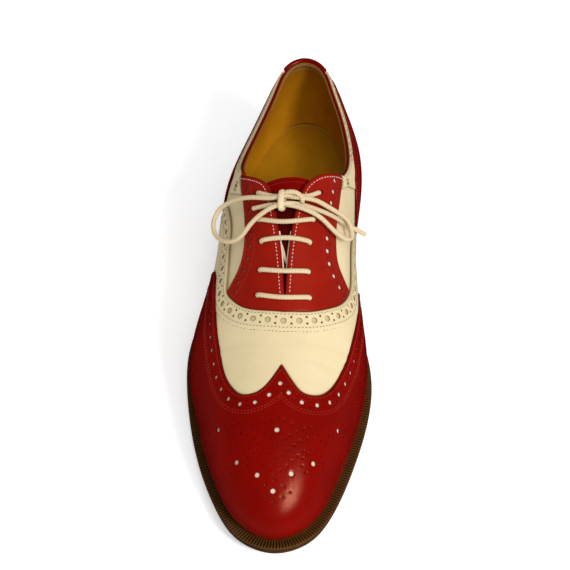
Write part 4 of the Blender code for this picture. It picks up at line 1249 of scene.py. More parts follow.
# %% flat mesh of a panel
def flat_mesh(chart, ring, holes, spacing):
    """Triangles of a punched panel in its chart, with each point's nearness to edges and holes."""
    points, links = [ring], [(i, (i + 1) % len(ring)) for i in range(len(ring))]
    start = len(ring)
    matrix = stretch(chart, holes[:, :2]) if len(holes) else np.zeros((0, 2, 2))
    big = holes[:, 2] > PIN_LIMIT if len(holes) else np.zeros(0, bool)
    for chosen, sides in ((big, HOLE_SIDES), (~big, PIN_SIDES)):
        for rim in hole_rings(matrix[chosen], holes[chosen], sides):
            points.append(rim)
            links += [(start + k, start + (k + 1) % sides) for k in range(sides)]
            start += sides
    loose = [hole_rings(matrix[big], holes[big], HOLE_SIDES, HOLE_COLLARS[0]).reshape(-1, 2)]
    loose.append(hole_rings(matrix[~big], holes[~big], PIN_SIDES, HOLE_COLLARS[1]).reshape(-1, 2))
    ahead = np.roll(ring, -1, axis=0) - np.roll(ring, 1, axis=0)
    left = left_of(ahead)
    for depth, _ in ROUNDING[1:]:
        loose += [ring + depth * left, ring - depth * left]
    low, high = ring.min(0), ring.max(0)
    across, ahead = np.arange(low[0], high[0], spacing), np.arange(low[1], high[1], spacing * ROW_SHARE)
    u, v = np.meshgrid(across, ahead)
    u = u + (np.arange(len(u)) % 2)[:, None] * spacing / 2
    grid = np.stack([u.ravel(), v.ravel()], -1)
    grid = grid[within(grid, ring)]
    loose.append(grid[edge_distance(grid, ring) > GRID_CLEAR])
    loose = np.vstack(loose)
    loose = loose[within(loose, ring)]
    loose = loose[edge_distance(loose, ring) > EDGE_CLEAR]
    if len(holes):
        loose = loose[hole_share(loose, matrix, holes) > HOLE_CLEAR]
    flat = np.vstack(points + [loose])
    made = delaunay_2d_cdt([Vector(p) for p in flat], links, [], 1, MESH_WITHIN)
    flat = np.array([tuple(p) for p in made[0]])
    faces = np.array([f for f in made[2] if len(f) == 3])
    middle = flat[faces].mean(1)
    keep = within(middle, ring)
    if len(holes):
        limit = np.where(big, np.cos(np.pi / HOLE_SIDES), np.cos(np.pi / PIN_SIDES))
        keep &= hole_share(middle, matrix, holes, limit) > 1
    nearness = hole_share(flat, matrix, holes)
    return flat, faces[keep], nearness


def hole_share(points, matrix, holes, limit=1.0):
    """Distance of points to the nearest hole's centre, as a share of its radius."""
    best = np.full(len(points), FAR_FROM_HOLES)
    limits = np.broadcast_to(limit, len(holes))
    for inverse, hole, most in zip(np.linalg.inv(matrix), holes, limits):
        away = points - hole[:2]
        close = abs(away).max(1) < HOLE_WINDOW
        share = np.linalg.norm(away[close] @ inverse.T, axis=1) / (hole[2] * most)
        best[close] = np.minimum(best[close], share)
    return best


# %% panel and the discs behind its holes
def panel(
    name, chart, ring, holes, lift, thick, paint, slot, node, spacing=2.0, relief=None, rim_edge_and_shade=0.5,
):
    """Punched panel draped on the last, with rounded edges and its full thickness."""
    flat, faces, nearness = flat_mesh(chart, ring, np.asarray(holes, float).reshape(-1, 3), spacing)
    depth = edge_distance(flat, ring)
    swell = np.interp(depth, *np.array(ROUNDING).T)
    swell = np.where(nearness < NEAR_HOLE, np.minimum(swell, TOP_HOLE_SHARE), swell)
    plan = chart.plan(flat)
    top = lift + thick * swell + (relief(plan, flat) if relief else 0)
    points = np.vstack([raised(plan, top), raised(plan, lift)])
    count = len(flat)
    edges = np.vstack([faces[:, [0, 1]], faces[:, [1, 2]], faces[:, [2, 0]]])
    known = {tuple(e) for e in edges.tolist()}
    rim = [(a, b) for a, b in known if (b, a) not in known]
    walls = [(b, a, a + count, b + count) for a, b in rim]
    solid = faces.tolist() + (faces[:, ::-1] + count).tolist() + walls
    # Marks: cut edges take their edge colour; hole rims are darker still, partly cut edge and partly
    # painted shade; the underside is marked in full, so every wall darkens downwards as painted shade.
    mark = np.clip(EDGE_TONE * np.exp(-depth / EDGE_FADE) + rim_edge_and_shade * (nearness < NEAR_HOLE), 0, 1)
    mark = np.r_[mark, np.ones(count)]
    return make_piece(name, points, solid, paint, slot, (node,) if node else (), mark)


def backing(name, chart, holes, lift, paint, slot, tone=0.0):
    """Small discs just under the big holes, where the layer below shows."""
    plan = chart.plan(holes[:, :2])
    matrix = stretch(chart, holes[:, :2])
    rims = hole_rings(matrix, holes, HOLE_SIDES, BACKING_GROW)
    shapes = []
    for centre, rim in zip(plan, chart.plan(rims)):
        disc = np.vstack([centre[None], rim])
        points = np.vstack([raised(disc, lift), raised(disc, lift - BACKING_THICK)])
        n = HOLE_SIDES + 1
        ring = [(k, k % HOLE_SIDES + 1) for k in range(1, n)]
        faces = [(0, a, b) for a, b in ring] + [(n, n + b, n + a) for a, b in ring]
        faces += [(b, a, a + n, b + n) for a, b in ring]
        # The tone darkens a disc as painted shade at the bottom of its hole.
        shapes.append((points, faces, np.full(len(points), tone)))
    points, faces, marks = joined(shapes)
    return make_piece(name, points, faces, paint, slot, edge=marks)


# %% stitches
# Thread: length of a stitch, gap to the next, radius
STITCH_SIZE = {
    "pale": (1.35, 0.75, 0.24), "red": (1.2, 0.6, 0.17), "cream": (1.3, 0.7, 0.18),
    "lining": (1.9, 1.0, 0.2),
}
STITCH_ROWS = {kind: [] for kind in STITCH_SIZE}

# Sections of a stitch: place along it, size, rise
STITCH_RINGS = (
    (-0.5, 0.15, -0.30), (-0.36, 0.8, 0.0), (0.0, 1.0, 0.25), (0.36, 0.8, 0.0), (0.5, 0.15, -0.30),
)
STITCH_SIDES = 6
STITCH_GRAIN = 0.25
STITCH_WIDE = 1.15


def stitch(kind, chart, curve, lift, outwards=1):
    """Row of single stitches of one thread along a chart curve, lying on a surface."""
    length, gap, _ = STITCH_SIZE[kind]
    plan = chart.plan(evenly(chart, curve, STITCH_GRAIN))
    solid = raised(plan, lift)
    spots = np.arange(2, len(plan) - 2, (length + gap) / STITCH_GRAIN).astype(int)
    ahead = unit(solid[spots + 2] - solid[spots - 2])
    STITCH_ROWS[kind].append((solid[spots], ahead, outwards * normals(plan[spots])))


def sew(kind):
    """All stitches of one thread as a single piece."""
    name = f"stitches_{kind}"
    place, ahead, up = (np.vstack(rows) for rows in zip(*STITCH_ROWS[kind]))
    side = np.cross(up, ahead)
    length, _, radius = STITCH_SIZE[kind]
    turn = full_turn(STITCH_SIDES)
    rings = []
    for x, size, rise in STITCH_RINGS:
        for angle in turn:
            wide = radius * size * np.cos(angle) * STITCH_WIDE
            high = radius * (size * np.sin(angle) + rise * 2)
            rings.append(place + ahead * x * length + side * wide + up * high)
    points = np.stack(rings, 1)
    single = tube_faces(len(STITCH_RINGS), STITCH_SIDES)
    starts = range(0, points.shape[0] * points.shape[1], points.shape[1])
    faces = [tuple(k + start for k in face) for start in starts for face in single]
    print(name, "stitches", len(points))
    return make_piece(name, points.reshape(-1, 3), faces, THREADS[kind], LACE_SLOT)


# %% [markdown]
# ## Upper and lining
# The quarters are one cream wall round the last, open at the collar, along the throat and
# underneath, with a thin ochre lining on its inside. Both come from the same grid of columns,
# which run from the ridge, the throat or the collar down to the welt.

# %% upper and lining
UPPER_LEATHER = 1.2
UPPER_GRID_ROWS = 40
UPPER_COLUMNS = (44, 44, 60)


def solid_sheet(name, plan, top, low, paint, slot, nodes=(), marks=None):
    """Closed sheet between two lifts over a grid of plan points, with marks for its tone."""
    columns_count, rows_count = plan.shape[:2]
    upper_side = raised(plan, top).reshape(-1, 3)
    lower_side = raised(plan, low).reshape(-1, 3)
    count = len(upper_side)
    faces = grid_faces(columns_count, rows_count)
    rim = [i * rows_count for i in range(columns_count)]
    rim += [(columns_count - 1) * rows_count + j for j in range(1, rows_count)]
    rim += [i * rows_count + rows_count - 1 for i in range(columns_count - 2, -1, -1)]
    rim += list(range(rows_count - 2, 0, -1))
    # Where the sheet meets itself, as along the ridge of the toe, it is welded and has no wall.
    turned = rim[1:] + rim[:1]
    middles = np.round((upper_side[rim] + upper_side[turned]) / 2, 3)
    _, kind, times = np.unique(middles, axis=0, return_inverse=True, return_counts=True)
    alone = times[kind.ravel()] == 1
    walls = [(a, b, b + count, a + count) for a, b, free in zip(rim, turned, alone) if free]
    faces = faces + [tuple(k + count for k in face[::-1]) for face in faces] + walls
    marks = None if marks is None else np.tile(marks.ravel(), 2)
    points = np.vstack([upper_side, lower_side])
    return make_piece(name, points, faces, paint, slot, nodes, marks, weld=not alone.all())


def upper_columns(side):
    """Top and foot ends of the upper's columns on one side, from the toe to the heel."""
    stations = np.linspace(RIDGE_END, SLIT_END, DENSE)
    ridge = on_plan(np.stack([np.zeros(DENSE), stations], -1))
    toe_foot = foot_points(edge_between(side, LAST.high, SLIT_END, DENSE), UPPER_FOOT)
    throat = throat_half(side, COLLAR_FRONT, DENSE)[::-1]
    side_foot = foot_points(edge_between(side, SLIT_END, COLLAR_FRONT, DENSE), UPPER_FOOT)
    collar, edge = collar_half(side, DENSE)
    tops, feet = [], []
    pairs = ((ridge, toe_foot), (throat, side_foot), (collar, foot_points(edge, UPPER_FOOT)))
    for (top, foot), count in zip(pairs, UPPER_COLUMNS):
        index = np.linspace(0, DENSE - 1, count + 1)[1 if tops else 0 :]
        tops.append(take(top, index))
        feet.append(take(foot, index))
    return np.vstack(tops), np.vstack(feet)


rows = np.linspace(0, 1, UPPER_GRID_ROWS + 1)[None, :, None]
both = upper_columns(-1), upper_columns(1)
halves = [top[:, None] + rows * (foot - top)[:, None] for top, foot in both]
UPPER_GRID = np.vstack([halves[0], halves[1][-2::-1]])
solid_sheet("quarters", UPPER_GRID, 0.0, -UPPER_LEATHER, CREAM, "cream_leather", ("upper",))
solid_sheet("upper_lining", UPPER_GRID, -UPPER_LEATHER - 0.02, -UPPER_WALL, LINING, "lining_leather")

# %% tongue
TONGUE_SEAM = 2
TONGUE_SHADE = (128.0, 8.0)
tongue_lateral, tongue_medial = columns(TONGUE)
stations = np.linspace(TONGUE[0][0], TONGUE[-1][0], 48)
ends = [on_plan(np.stack([edge(stations), stations], -1)) for edge in (tongue_lateral, tongue_medial)]
shares = np.linspace(0, 1, 31)[None, :, None]
tongue_plan = ends[0][:, None] + shares * (ends[1] - ends[0])[:, None]
tongue_shade = np.clip((tongue_plan[..., 1] - TONGUE_SHADE[0]) / TONGUE_SHADE[1], 0, 1)
solid_sheet(
    "tongue_leather", tongue_plan, -TONGUE_DEPTH, -TONGUE_DEPTH - TONGUE_THICK, RED, "red_leather",
    ("tongue",), tongue_shade,
)
stitch("red", FrontChart, FrontChart.flat(tongue_plan[TONGUE_SEAM]), -TONGUE_DEPTH)

# %% [markdown]
# A red binding is folded over the collar, and the facing is turned in along the throat. Both are
# rounded edges, so one function sweeps a half-round section along the edge, set on the wall. Inside
# the binding the cut edge of the lining shows, and in the slit the pale lining of the facing.

# %% binding of the collar and turned edge of the throat
EDGING_SIDES = 12
BINDING_POINTS = 260
BINDING_TONE = 0.45
SLIT_LINING = (150.0, 171.0)


def edging(path, inner, outer, proud, below):
    """Rounded edge along a plan path: from inner to outer lift, proud of the edge and below it."""
    inner, outer = (np.broadcast_to(lift, len(path)) for lift in (inner, outer))
    root = rib_root(path)
    down = unit(drape(root + 1.03 * (path - root)) - drape(path))
    normal = normals(path)
    up = unit(normal * (down * normal).sum(1)[:, None] - down)
    middle = raised(path, (inner + outer) / 2)
    turn = full_turn(EDGING_SIDES)
    wide = ((outer - inner) / 2)[:, None] * np.cos(turn)
    rise = np.where(np.sin(turn) > 0, proud, below) * np.sin(turn)
    points = middle[:, None] + wide[..., None] * normal[:, None] + rise[None, :, None] * up[:, None]
    faces = tube_faces(len(path), EDGING_SIDES)
    return points.reshape(-1, 3), faces, np.zeros(len(path) * EDGING_SIDES)


def heel_run(side, edge):
    return np.interp(edge[:, 1], *branch_run(side))


lateral_collar, medial_collar = (collar_half(side, BINDING_POINTS) for side in (-1, 1))
collar_path = np.vstack([lateral_collar[0], medial_collar[0][-2::-1]])
collar_run = np.r_[heel_run(-1, lateral_collar[1]), heel_run(1, medial_collar[1])[-2::-1]]
collar_outer = np.interp(collar_run, (HEEL_STRIP_TOP - 0.6, HEEL_STRIP_TOP + 0.2), (1.75, 0.30))
binding = edging(collar_path, -1.15, collar_outer, 0.85, 1.5)
make_piece("collar_binding", *binding[:2], RED, "red_leather", edge=binding[2] + BINDING_TONE)
lining_edge = edging(collar_path, -UPPER_WALL - 0.05, -1.05, 0.55, 1.2)
make_piece("collar_lining_edge", *lining_edge[:2], GRIP, "lining_leather", edge=lining_edge[2] + 1)
throat_shapes, slit_shapes = [], []
for side in (-1, 1):
    path = throat_half(side, COLLAR_FRONT, 220)[:-6]
    throat_shapes.append(edging(path, -UPPER_WALL - 0.1, 1.0, 0.35, 0.8))
    shown = path[(path[:, 1] > SLIT_LINING[0]) & (path[:, 1] < SLIT_LINING[1])]
    slit_shapes.append(edging(shown, -1.9, -0.3, 0.9, 0.6))
make_piece("throat_edges", *joined(throat_shapes)[:2], FACING_RED_LIT, "red_leather")
make_piece("slit_lining", *joined(slit_shapes)[:2], BACKING, "cream_leather")

# %% [markdown]
# ## Vamp and wing cap
# The cream vamp carries the perforated band along its rear edge, as a slight step in the leather,
# with big holes, pairs of pinholes between them and stitch rows on both sides. The red wing cap
# lies over the vamp. Its scalloped edge has one row of big holes, and its toe has the medallion.
# A few shallow creases across the vamp come from walking, and are listed one by one.

# %% outlines of vamp and wing
BIG_HOLE = 1.5
WING_HOLE = 1.20
MEDALLION_HOLE = 1.34
BAND_PIN = 0.58
RED_PIN = 0.31
BAND_WIDE = 9.6
BAND_STEP = 0.35
BUTT_GAP = 0.12
WING_SEAMS = (1.5, 9.0, 10.3)

# Rows of holes: distance from the edge, pitch, width of a pair of pinholes
BAND_ROW = (5.0, 8.2, 3.6)
WING_ROW = (5.4, 8.4, 3.0)

# Creases of the vamp: offset, station, half length, width, depth, slant
CREASES = [
    (16.0, 203.0, 9.0, 1.6, 0.30, -0.25), (14.0, 209.0, 8.0, 1.3, 0.22, -0.20),
    (12.0, 214.0, 8.0, 1.4, 0.25, -0.12), (-15.0, 206.0, 8.0, 1.7, 0.26, 0.25),
    (-12.0, 212.0, 8.0, 1.4, 0.20, 0.18), (1.0, 206.5, 9.0, 1.5, 0.14, 0.0),
]


def front_half(side, rear, edge, rear_tip, wing_foot):
    """Plan curves of one side: vamp's rear edge, vamp's foot, edge of the wing, wing's foot."""
    flank = foot_points(edge_between(side, VAMP_REAR_FOOT, wing_foot, DENSE), PANEL_FOOT)
    foot = foot_points(edge_between(side, wing_foot, LAST.high, DENSE), PANEL_FOOT)
    behind = smooth(np.vstack([flank[:1], on_plan(rear + rear_tip)]), 2 * DENSE)
    shared = smooth(np.vstack([flank[-1:], on_plan(edge[::-1])]), 2 * DENSE)
    return [FrontChart.flat(curve) for curve in (behind, flank, shared, foot)]


lateral = front_half(-1, VAMP_LATERAL, WING_LATERAL, SHIELD_LOW_LATERAL, WING_FOOT_LATERAL)
medial = front_half(1, VAMP_MEDIAL, WING_MEDIAL, SHIELD_LOW_MEDIAL, WING_FOOT_MEDIAL)
REAR_EDGE = np.vstack([lateral[0], medial[0][-2::-1]])
WING_EDGE = np.vstack([lateral[2], medial[2][-2::-1]])


def from_middle(chart, curve, spacing):
    """Even points along a curve, counted both ways from where it crosses the ridge."""
    middle = int(np.argmin(abs(curve[:, 0]) + np.where(curve[:, 1] < 150, 99, 0)))
    back = evenly(chart, curve[middle::-1], spacing)
    return np.vstack([back[:0:-1], evenly(chart, curve[middle:], spacing)])


def vamp_relief(plan, flat):
    """Step of the band along the rear edge, and the creases of the vamp."""
    depth = edge_distance(flat, REAR_EDGE)
    rise = BAND_STEP * np.clip((BAND_WIDE + 0.5 - depth) / 0.5, 0, 1)
    offset = plan[:, 0] - ridge_across(plan[:, 1])
    for centre, station, reach, wide, deep, slant in CREASES:
        along_fold = (offset - centre) / reach
        over_fold = (plan[:, 1] - station - slant * (offset - centre)) / wide
        fold = np.exp(-(over_fold**2)) - 0.6 * np.exp(-((over_fold - 1.9) ** 2))
        rise -= deep * fold * np.exp(-(along_fold**2))
    return rise


# %% vamp
BAND_TOP = PANEL_LIFT + PANEL_THICK + BAND_STEP
band_row = from_middle(FrontChart, beside(FrontChart, REAR_EDGE, BAND_ROW[0]), BAND_ROW[1])[1:-1]
band_holes = holes_of(band_row, BIG_HOLE)
band_pins = holes_of(pin_pairs(FrontChart, band_row, BAND_ROW[2]), BAND_PIN)
vamp_ring = ring_of(
    FrontChart, REAR_EDGE, medial[1], beside(FrontChart, WING_EDGE, -BUTT_GAP)[::-1], lateral[1][::-1]
)
panel(
    "vamp_leather", FrontChart, vamp_ring, np.vstack([band_holes, band_pins]), PANEL_LIFT, PANEL_THICK,
    CREAM, "cream_leather", "vamp", relief=vamp_relief, rim_edge_and_shade=1.0,
)
# The discs under the band are painted a little darker, as painted shade in the holes.
backing("band_backing", FrontChart, band_holes, BAND_TOP - 0.75, CREAM, "cream_leather", tone=0.3)
stitch("cream", FrontChart, beside(FrontChart, REAR_EDGE, 1.5), BAND_TOP)
stitch("cream", FrontChart, beside(FrontChart, REAR_EDGE, BAND_WIDE - 0.8), BAND_TOP)
stitch("cream", FrontChart, beside(FrontChart, REAR_EDGE, BAND_WIDE + 1.5), BAND_TOP - BAND_STEP)

# %% [markdown]
# The medallion is a traditional toe ornament: eight big holes in the shape of a fan, three nested
# chevrons of pinholes that sweep in from the sides, rings of pinholes round the big holes, and a
# diamond of larger pinholes round the lowest one. The chevrons are given for the medial side and
# mirrored, and pinholes that would run into each other are left out.

# %% wing cap with its medallion
MEDALLION = [
    (0, 249), (-18.8, 246), (18.8, 242), (-11, 260), (10.6, 259), (-4.5, 264), (4.5, 263), (0, 269),
]

# Rows of pinholes from the middle to the side: offset, station
CHEVRONS = [
    [(0, 253.2), (2.2, 251.5), (5.4, 248.7), (9.0, 246.4), (12.0, 246.0), (15.5, 247.4)],
    [(0, 258.3), (3.4, 255.0), (6.4, 251.8), (9.0, 250.4), (11.7, 250.1), (15.6, 251.0)],
    [(0, 263.5), (3.8, 259.8), (6.0, 256.6), (8.5, 254.5), (11.3, 253.8)],
    [(0, 244.2), (2.0, 245.5), (4.3, 247.2)],
]
PIN_PITCH = 3.9

# Rings of pinholes: place in the medallion, radius, count
PIN_RINGS = [(1, 5.4, 9), (2, 5.4, 9), (3, 6.2, 10), (4, 6.2, 10)]
DIAMOND_HALF = (8.2, 5.6)
DIAMOND = [(1, 0), (0.55, 0.5), (0, 1), (-0.55, 0.5), (-1, 0), (-0.55, -0.5), (0, -1), (0.55, -0.5)]
DIAMOND_PIN = 0.5
PIN_CLEAR = 1.9


def chevron(rows, side):
    curve = FrontChart.flat(smooth(on_plan([(side * offset, station) for offset, station in rows]), 120))
    return evenly(FrontChart, curve, PIN_PITCH)


def round_about(centre, steps):
    """Places at steps in millimetres from a chart point."""
    return centre + np.asarray(steps) @ stretch(FrontChart, centre[None])[0].T


def pin_ring(centre, radius, count):
    turn = full_turn(count) + 0.3
    return round_about(centre, radius * np.stack([np.cos(turn), np.sin(turn)], -1))


wing_row = from_middle(FrontChart, beside(FrontChart, WING_EDGE, WING_ROW[0]), WING_ROW[1])[1:-1]
medallion = FrontChart.flat(on_plan(MEDALLION))
wing_holes = np.vstack([holes_of(wing_row, WING_HOLE), holes_of(medallion, MEDALLION_HOLE)])
diamond = round_about(medallion[-1], np.array(DIAMOND) * DIAMOND_HALF)
pins = [chevron(rows, side) for rows in CHEVRONS for side in (1, -1)]
pins += [pin_ring(medallion[place], radius, count) for place, radius, count in PIN_RINGS]
pins = apart(FrontChart, np.vstack(pins), np.vstack([medallion, diamond]), PIN_CLEAR)
print("medallion pinholes", len(pins) + len(diamond))
wing_pins = np.vstack([
    holes_of(pins, RED_PIN), holes_of(diamond, DIAMOND_PIN),
    holes_of(pin_pairs(FrontChart, wing_row, WING_ROW[2]), RED_PIN),
])
wing_ring = ring_of(FrontChart, WING_EDGE, medial[3], lateral[3][::-1])
WING_TOP = WING_LIFT + WING_THICK
panel(
    "wing_leather", FrontChart, wing_ring, np.vstack([wing_holes, wing_pins]), WING_LIFT, WING_THICK,
    RED, "red_leather", "wing_cap",
)
backing("wing_backing", FrontChart, wing_holes, WING_TOP - 1.05, BACKING, "cream_leather")
for distance in WING_SEAMS:
    stitch("red", FrontChart, beside(FrontChart, WING_EDGE, distance), WING_TOP)

# %% [markdown]
# ## Facing
# The red facing is a shield round the slit with five pairs of eyelets. A row of holes runs along
# its outer edge, and a pale stitch row follows the throat and the slit.

# %% facing
FACING_TOP = PANEL_LIFT + PANEL_THICK
EYELET_HOLE = 1.5
FACING_HOLE = 1.25
FACING_PITCH = (7.2, 9.0, 2.6)
FACING_ROWS = (4.8, 8.2)
FACING_SEAMS = ((1.5, 8.2), (1.6, 4.8, 11.4))
THROAT_SEAM = 2.0
sides = []
shields = ((-1, SHIELD_LATERAL, SHIELD_LOW_LATERAL), (1, SHIELD_MEDIAL, SHIELD_LOW_MEDIAL))
for side, flank, low in shields:
    inner = throat_half(side, flank[0][1] + FACING_TOP_EDGE, 2 * DENSE)
    curves = (inner, smooth(on_plan(flank), DENSE), smooth(on_plan(low), DENSE))
    sides.append([FrontChart.flat(curve) for curve in curves])
(lateral_inner, lateral_flank, lateral_low), (medial_inner, medial_flank, medial_low) = sides
low_edge = beside(FrontChart, np.vstack([lateral_low, medial_low[-2::-1]]), -BUTT_GAP)
top_medial = np.linspace(medial_flank[0], medial_inner[0], 12)
top_lateral = np.linspace(lateral_inner[0], lateral_flank[0], 12)
facing_ring = ring_of(
    FrontChart, lateral_flank, low_edge, medial_flank[::-1], top_medial, medial_inner,
    lateral_inner[::-1], top_lateral,
)
outer_rows = []
for flank, low, way, row_place, seams in (
    (lateral_flank, lateral_low, -1, FACING_ROWS[0], FACING_SEAMS[0]),
    (medial_flank, medial_low, 1, FACING_ROWS[1], FACING_SEAMS[1]),
):
    edge = np.vstack([flank, low[1:60]])
    row = evenly(FrontChart, beside(FrontChart, edge, way * row_place), *FACING_PITCH[:2])
    outer_rows.append(kept_inside(row, facing_ring, FACING_PITCH[2]))
    for distance in seams:
        seam = kept_inside(beside(FrontChart, edge, way * distance), facing_ring, 0.8)
        stitch("red", FrontChart, seam, FACING_TOP)
facing_holes = [holes_of(row, FACING_HOLE) for row in outer_rows]
eyelet_holes = holes_of(FrontChart.flat(np.vstack([eyelet_plan(-1), eyelet_plan(1)])), EYELET_HOLE)
facing_pins = holes_of(np.vstack([pin_pairs(FrontChart, row, 2.6) for row in outer_rows]), RED_PIN)
panel(
    "facing_leather", FrontChart, facing_ring, np.vstack(facing_holes + [eyelet_holes, facing_pins]),
    PANEL_LIFT, PANEL_THICK, FACING_RED_LIT, "red_leather", "facing", spacing=1.8,
)
backing("facing_backing_outer", FrontChart, facing_holes[0], FACING_TOP - 0.8, ROSE_BACKING, "red_leather")
backing("facing_backing_inner", FrontChart, facing_holes[1], FACING_TOP - 0.7, BACKING, "cream_leather")
backing("eyelet_backing", FrontChart, eyelet_holes, FACING_TOP - 0.6, RED, "red_leather")
for inner, top, way in ((lateral_inner, top_lateral[::-1], 1), (medial_inner, top_medial, -1)):
    throat = np.vstack([top[:-1], inner[:-4]])
    stitch("pale", FrontChart, beside(FrontChart, throat, way * THROAT_SEAM), FACING_TOP)

# %% [markdown]
# ## Rear panels
# A red counter wraps the heel, a red strip covers the back seam, and a cream perforated strip
# follows the collar and turns down beside the facing as a short tab.

# %% heel counter
STRIP_HOLE = 0.85
TAB_HOLE = 1.3
TAB_RING = 3.0
REAR_SPACING = 2.4


def rear_curve(side, edge, height):
    """Chart curve along outline points of one side at a height of the last."""
    return np.stack([side * np.interp(edge[:, 1], *branch_run(side)), rear_rows(edge, height)], -1)


lateral_edge = edge_between(-1, COUNTER_FRONT, LAST.low + 0.01, DENSE)
medial_edge = edge_between(1, LAST.low + 0.01, COUNTER_FRONT, DENSE)
counter_top = np.vstack(
    [rear_curve(-1, lateral_edge, counter_lateral), rear_curve(1, medial_edge, counter_medial)]
)
counter_foot = np.stack([counter_top[::-1, 0], np.full(len(counter_top), PANEL_FOOT * RIB_STRETCH)], -1)
counter_ring = ring_of(
    RearChart, counter_top, np.linspace(counter_top[-1], counter_foot[0], 20), counter_foot,
    np.linspace(counter_foot[-1], counter_top[0], 20),
)
counter_row = evenly(RearChart, beside(RearChart, counter_top, 5.0), 6.5, 5.0)
counter_holes = holes_of(counter_row, STRIP_HOLE)
counter_pins = holes_of(pin_pairs(RearChart, counter_row, 2.4), RED_PIN)
panel(
    "counter_leather", RearChart, counter_ring, np.vstack([counter_holes, counter_pins]), PANEL_LIFT,
    COUNTER_THICK, RED, "red_leather", "heel_counter", spacing=REAR_SPACING,
)
stitch("red", RearChart, beside(RearChart, counter_top, 1.6), PANEL_LIFT + COUNTER_THICK)
stitch("red", RearChart, beside(RearChart, counter_top, 8.2), PANEL_LIFT + COUNTER_THICK)

# %% heel strip
strip_top = np.linspace(-HEEL_STRIP_TOP, HEEL_STRIP_TOP, 80)
strip_low = np.linspace(HEEL_STRIP_LOW, -HEEL_STRIP_LOW, 80)
top_curve = np.stack([strip_top, rear_rows(heel_edge(strip_top), collar_height)], -1)
strip_foot = rear_rows(heel_edge(strip_low), lambda s: counter_medial(s) + 2 * GAP)
low_curve = np.stack([strip_low, strip_foot], -1)
strip_sides = (
    np.linspace(top_curve[-1], low_curve[0], 30), np.linspace(low_curve[-1], top_curve[0], 30),
)
strip_ring = ring_of(RearChart, top_curve, strip_sides[0], low_curve, strip_sides[1])
panel(
    "heel_strip_leather", RearChart, strip_ring, [], PANEL_LIFT, COUNTER_THICK, RED, "red_leather",
    "heel_strip", spacing=REAR_SPACING,
)
for curve in strip_sides:
    stitch("red", RearChart, beside(RearChart, curve, 1.5), PANEL_LIFT + COUNTER_THICK)


# %% collar strips
def collar_strip(name, side, drop, flank, tab, tab_end, tab_turn, node):
    """Perforated strip under the collar with its tab beside the facing."""
    starts = (HEEL_STRIP_TOP + 2 * GAP, (HEEL_STRIP_TOP + HEEL_STRIP_LOW) / 2 + 2 * GAP)
    top_start, low_start = (heel_edge(np.array([side * start]))[0, 1] for start in starts)
    top = rear_curve(side, edge_between(side, top_start, COLLAR_FRONT, DENSE), collar_height)
    low_line = edge_between(side, low_start, COLLAR_FRONT - tab_turn, DENSE)
    low = rear_curve(side, low_line, lambda s: collar_height(s) - drop(s))
    corner = throat_half(side, COLLAR_FRONT, 2 * DENSE)
    corner = corner[corner[:, 1] <= flank[0][1]]
    inner = smooth(on_plan(flank), 2 * DENSE)
    inner = inner[inner[:, 1] <= tab_end] + np.array([side * GAP, 0])
    tab_top = np.vstack([top[-1:], RearChart.flat(np.vstack([corner, inner]))])
    tab_low = np.vstack([low[-1:], RearChart.flat(on_plan(tab))])
    tab_foot = np.linspace(tab_top[-1], tab_low[-1], 24)
    back = np.linspace(low[0], top[0], 12)
    ring = ring_of(RearChart, top, tab_top, tab_foot, tab_low[::-1], low[::-1], back)
    row = evenly(RearChart, (top + low)[:-30] / 2, 5.2, 3.0)
    spot = (tab_top[-1:] + top[-1:] + tab_low[-1:]) / 3
    round_spot = spot + TAB_RING * np.array(DIAMOND) @ stretch(RearChart, spot)[0].T
    holes = np.vstack([holes_of(row, STRIP_HOLE), holes_of(spot, TAB_HOLE)])
    pins = np.vstack([pin_pairs(RearChart, row, 2.6), round_spot[within(round_spot, ring)]])
    pins = apart(RearChart, pins, holes[:, :2], PIN_CLEAR)
    panel(
        name, RearChart, ring, np.vstack([holes, holes_of(pins, BAND_PIN)]), PANEL_LIFT, PANEL_THICK,
        CREAM, "cream_leather", node, spacing=REAR_SPACING, rim_edge_and_shade=1.0,
    )
    # These discs are painted darker, as painted shade in the holes of the strip.
    backing(f"{name}_backing", RearChart, holes, PANEL_LIFT + 0.2, CREAM, "cream_leather", tone=0.7)
    stitch("cream", RearChart, beside(RearChart, low, -side * 1.3), PANEL_LIFT + PANEL_THICK)
    stitch("cream", RearChart, beside(RearChart, top, side * 1.5), PANEL_LIFT + PANEL_THICK)


collar_strip(
    "collar_strip_outer", -1, strip_drop_lateral, SHIELD_LATERAL, TAB_LATERAL, TAB_END_LATERAL,
    TAB_TURN_LATERAL, "collar_strip_lateral",
)
collar_strip(
    "collar_strip_inner", 1, strip_drop_medial, SHIELD_MEDIAL, TAB_MEDIAL, TAB_END_MEDIAL,
    TAB_TURN_MEDIAL, "collar_strip_medial",
)

# %% [markdown]
# Inside the heel a soft strip of leather is sewn under the collar. It is widest at the back and runs
# out at both sides, so its lower edge is given as a drop below the collar.

# %% heel grip inside
GRIP_REACH = 52.0
GRIP_BELOW = 0.8
GRIP_DROP = (8.5, 2.0)
GRIP_LIFTS = (-UPPER_WALL + 0.1, -UPPER_WALL - 0.45)

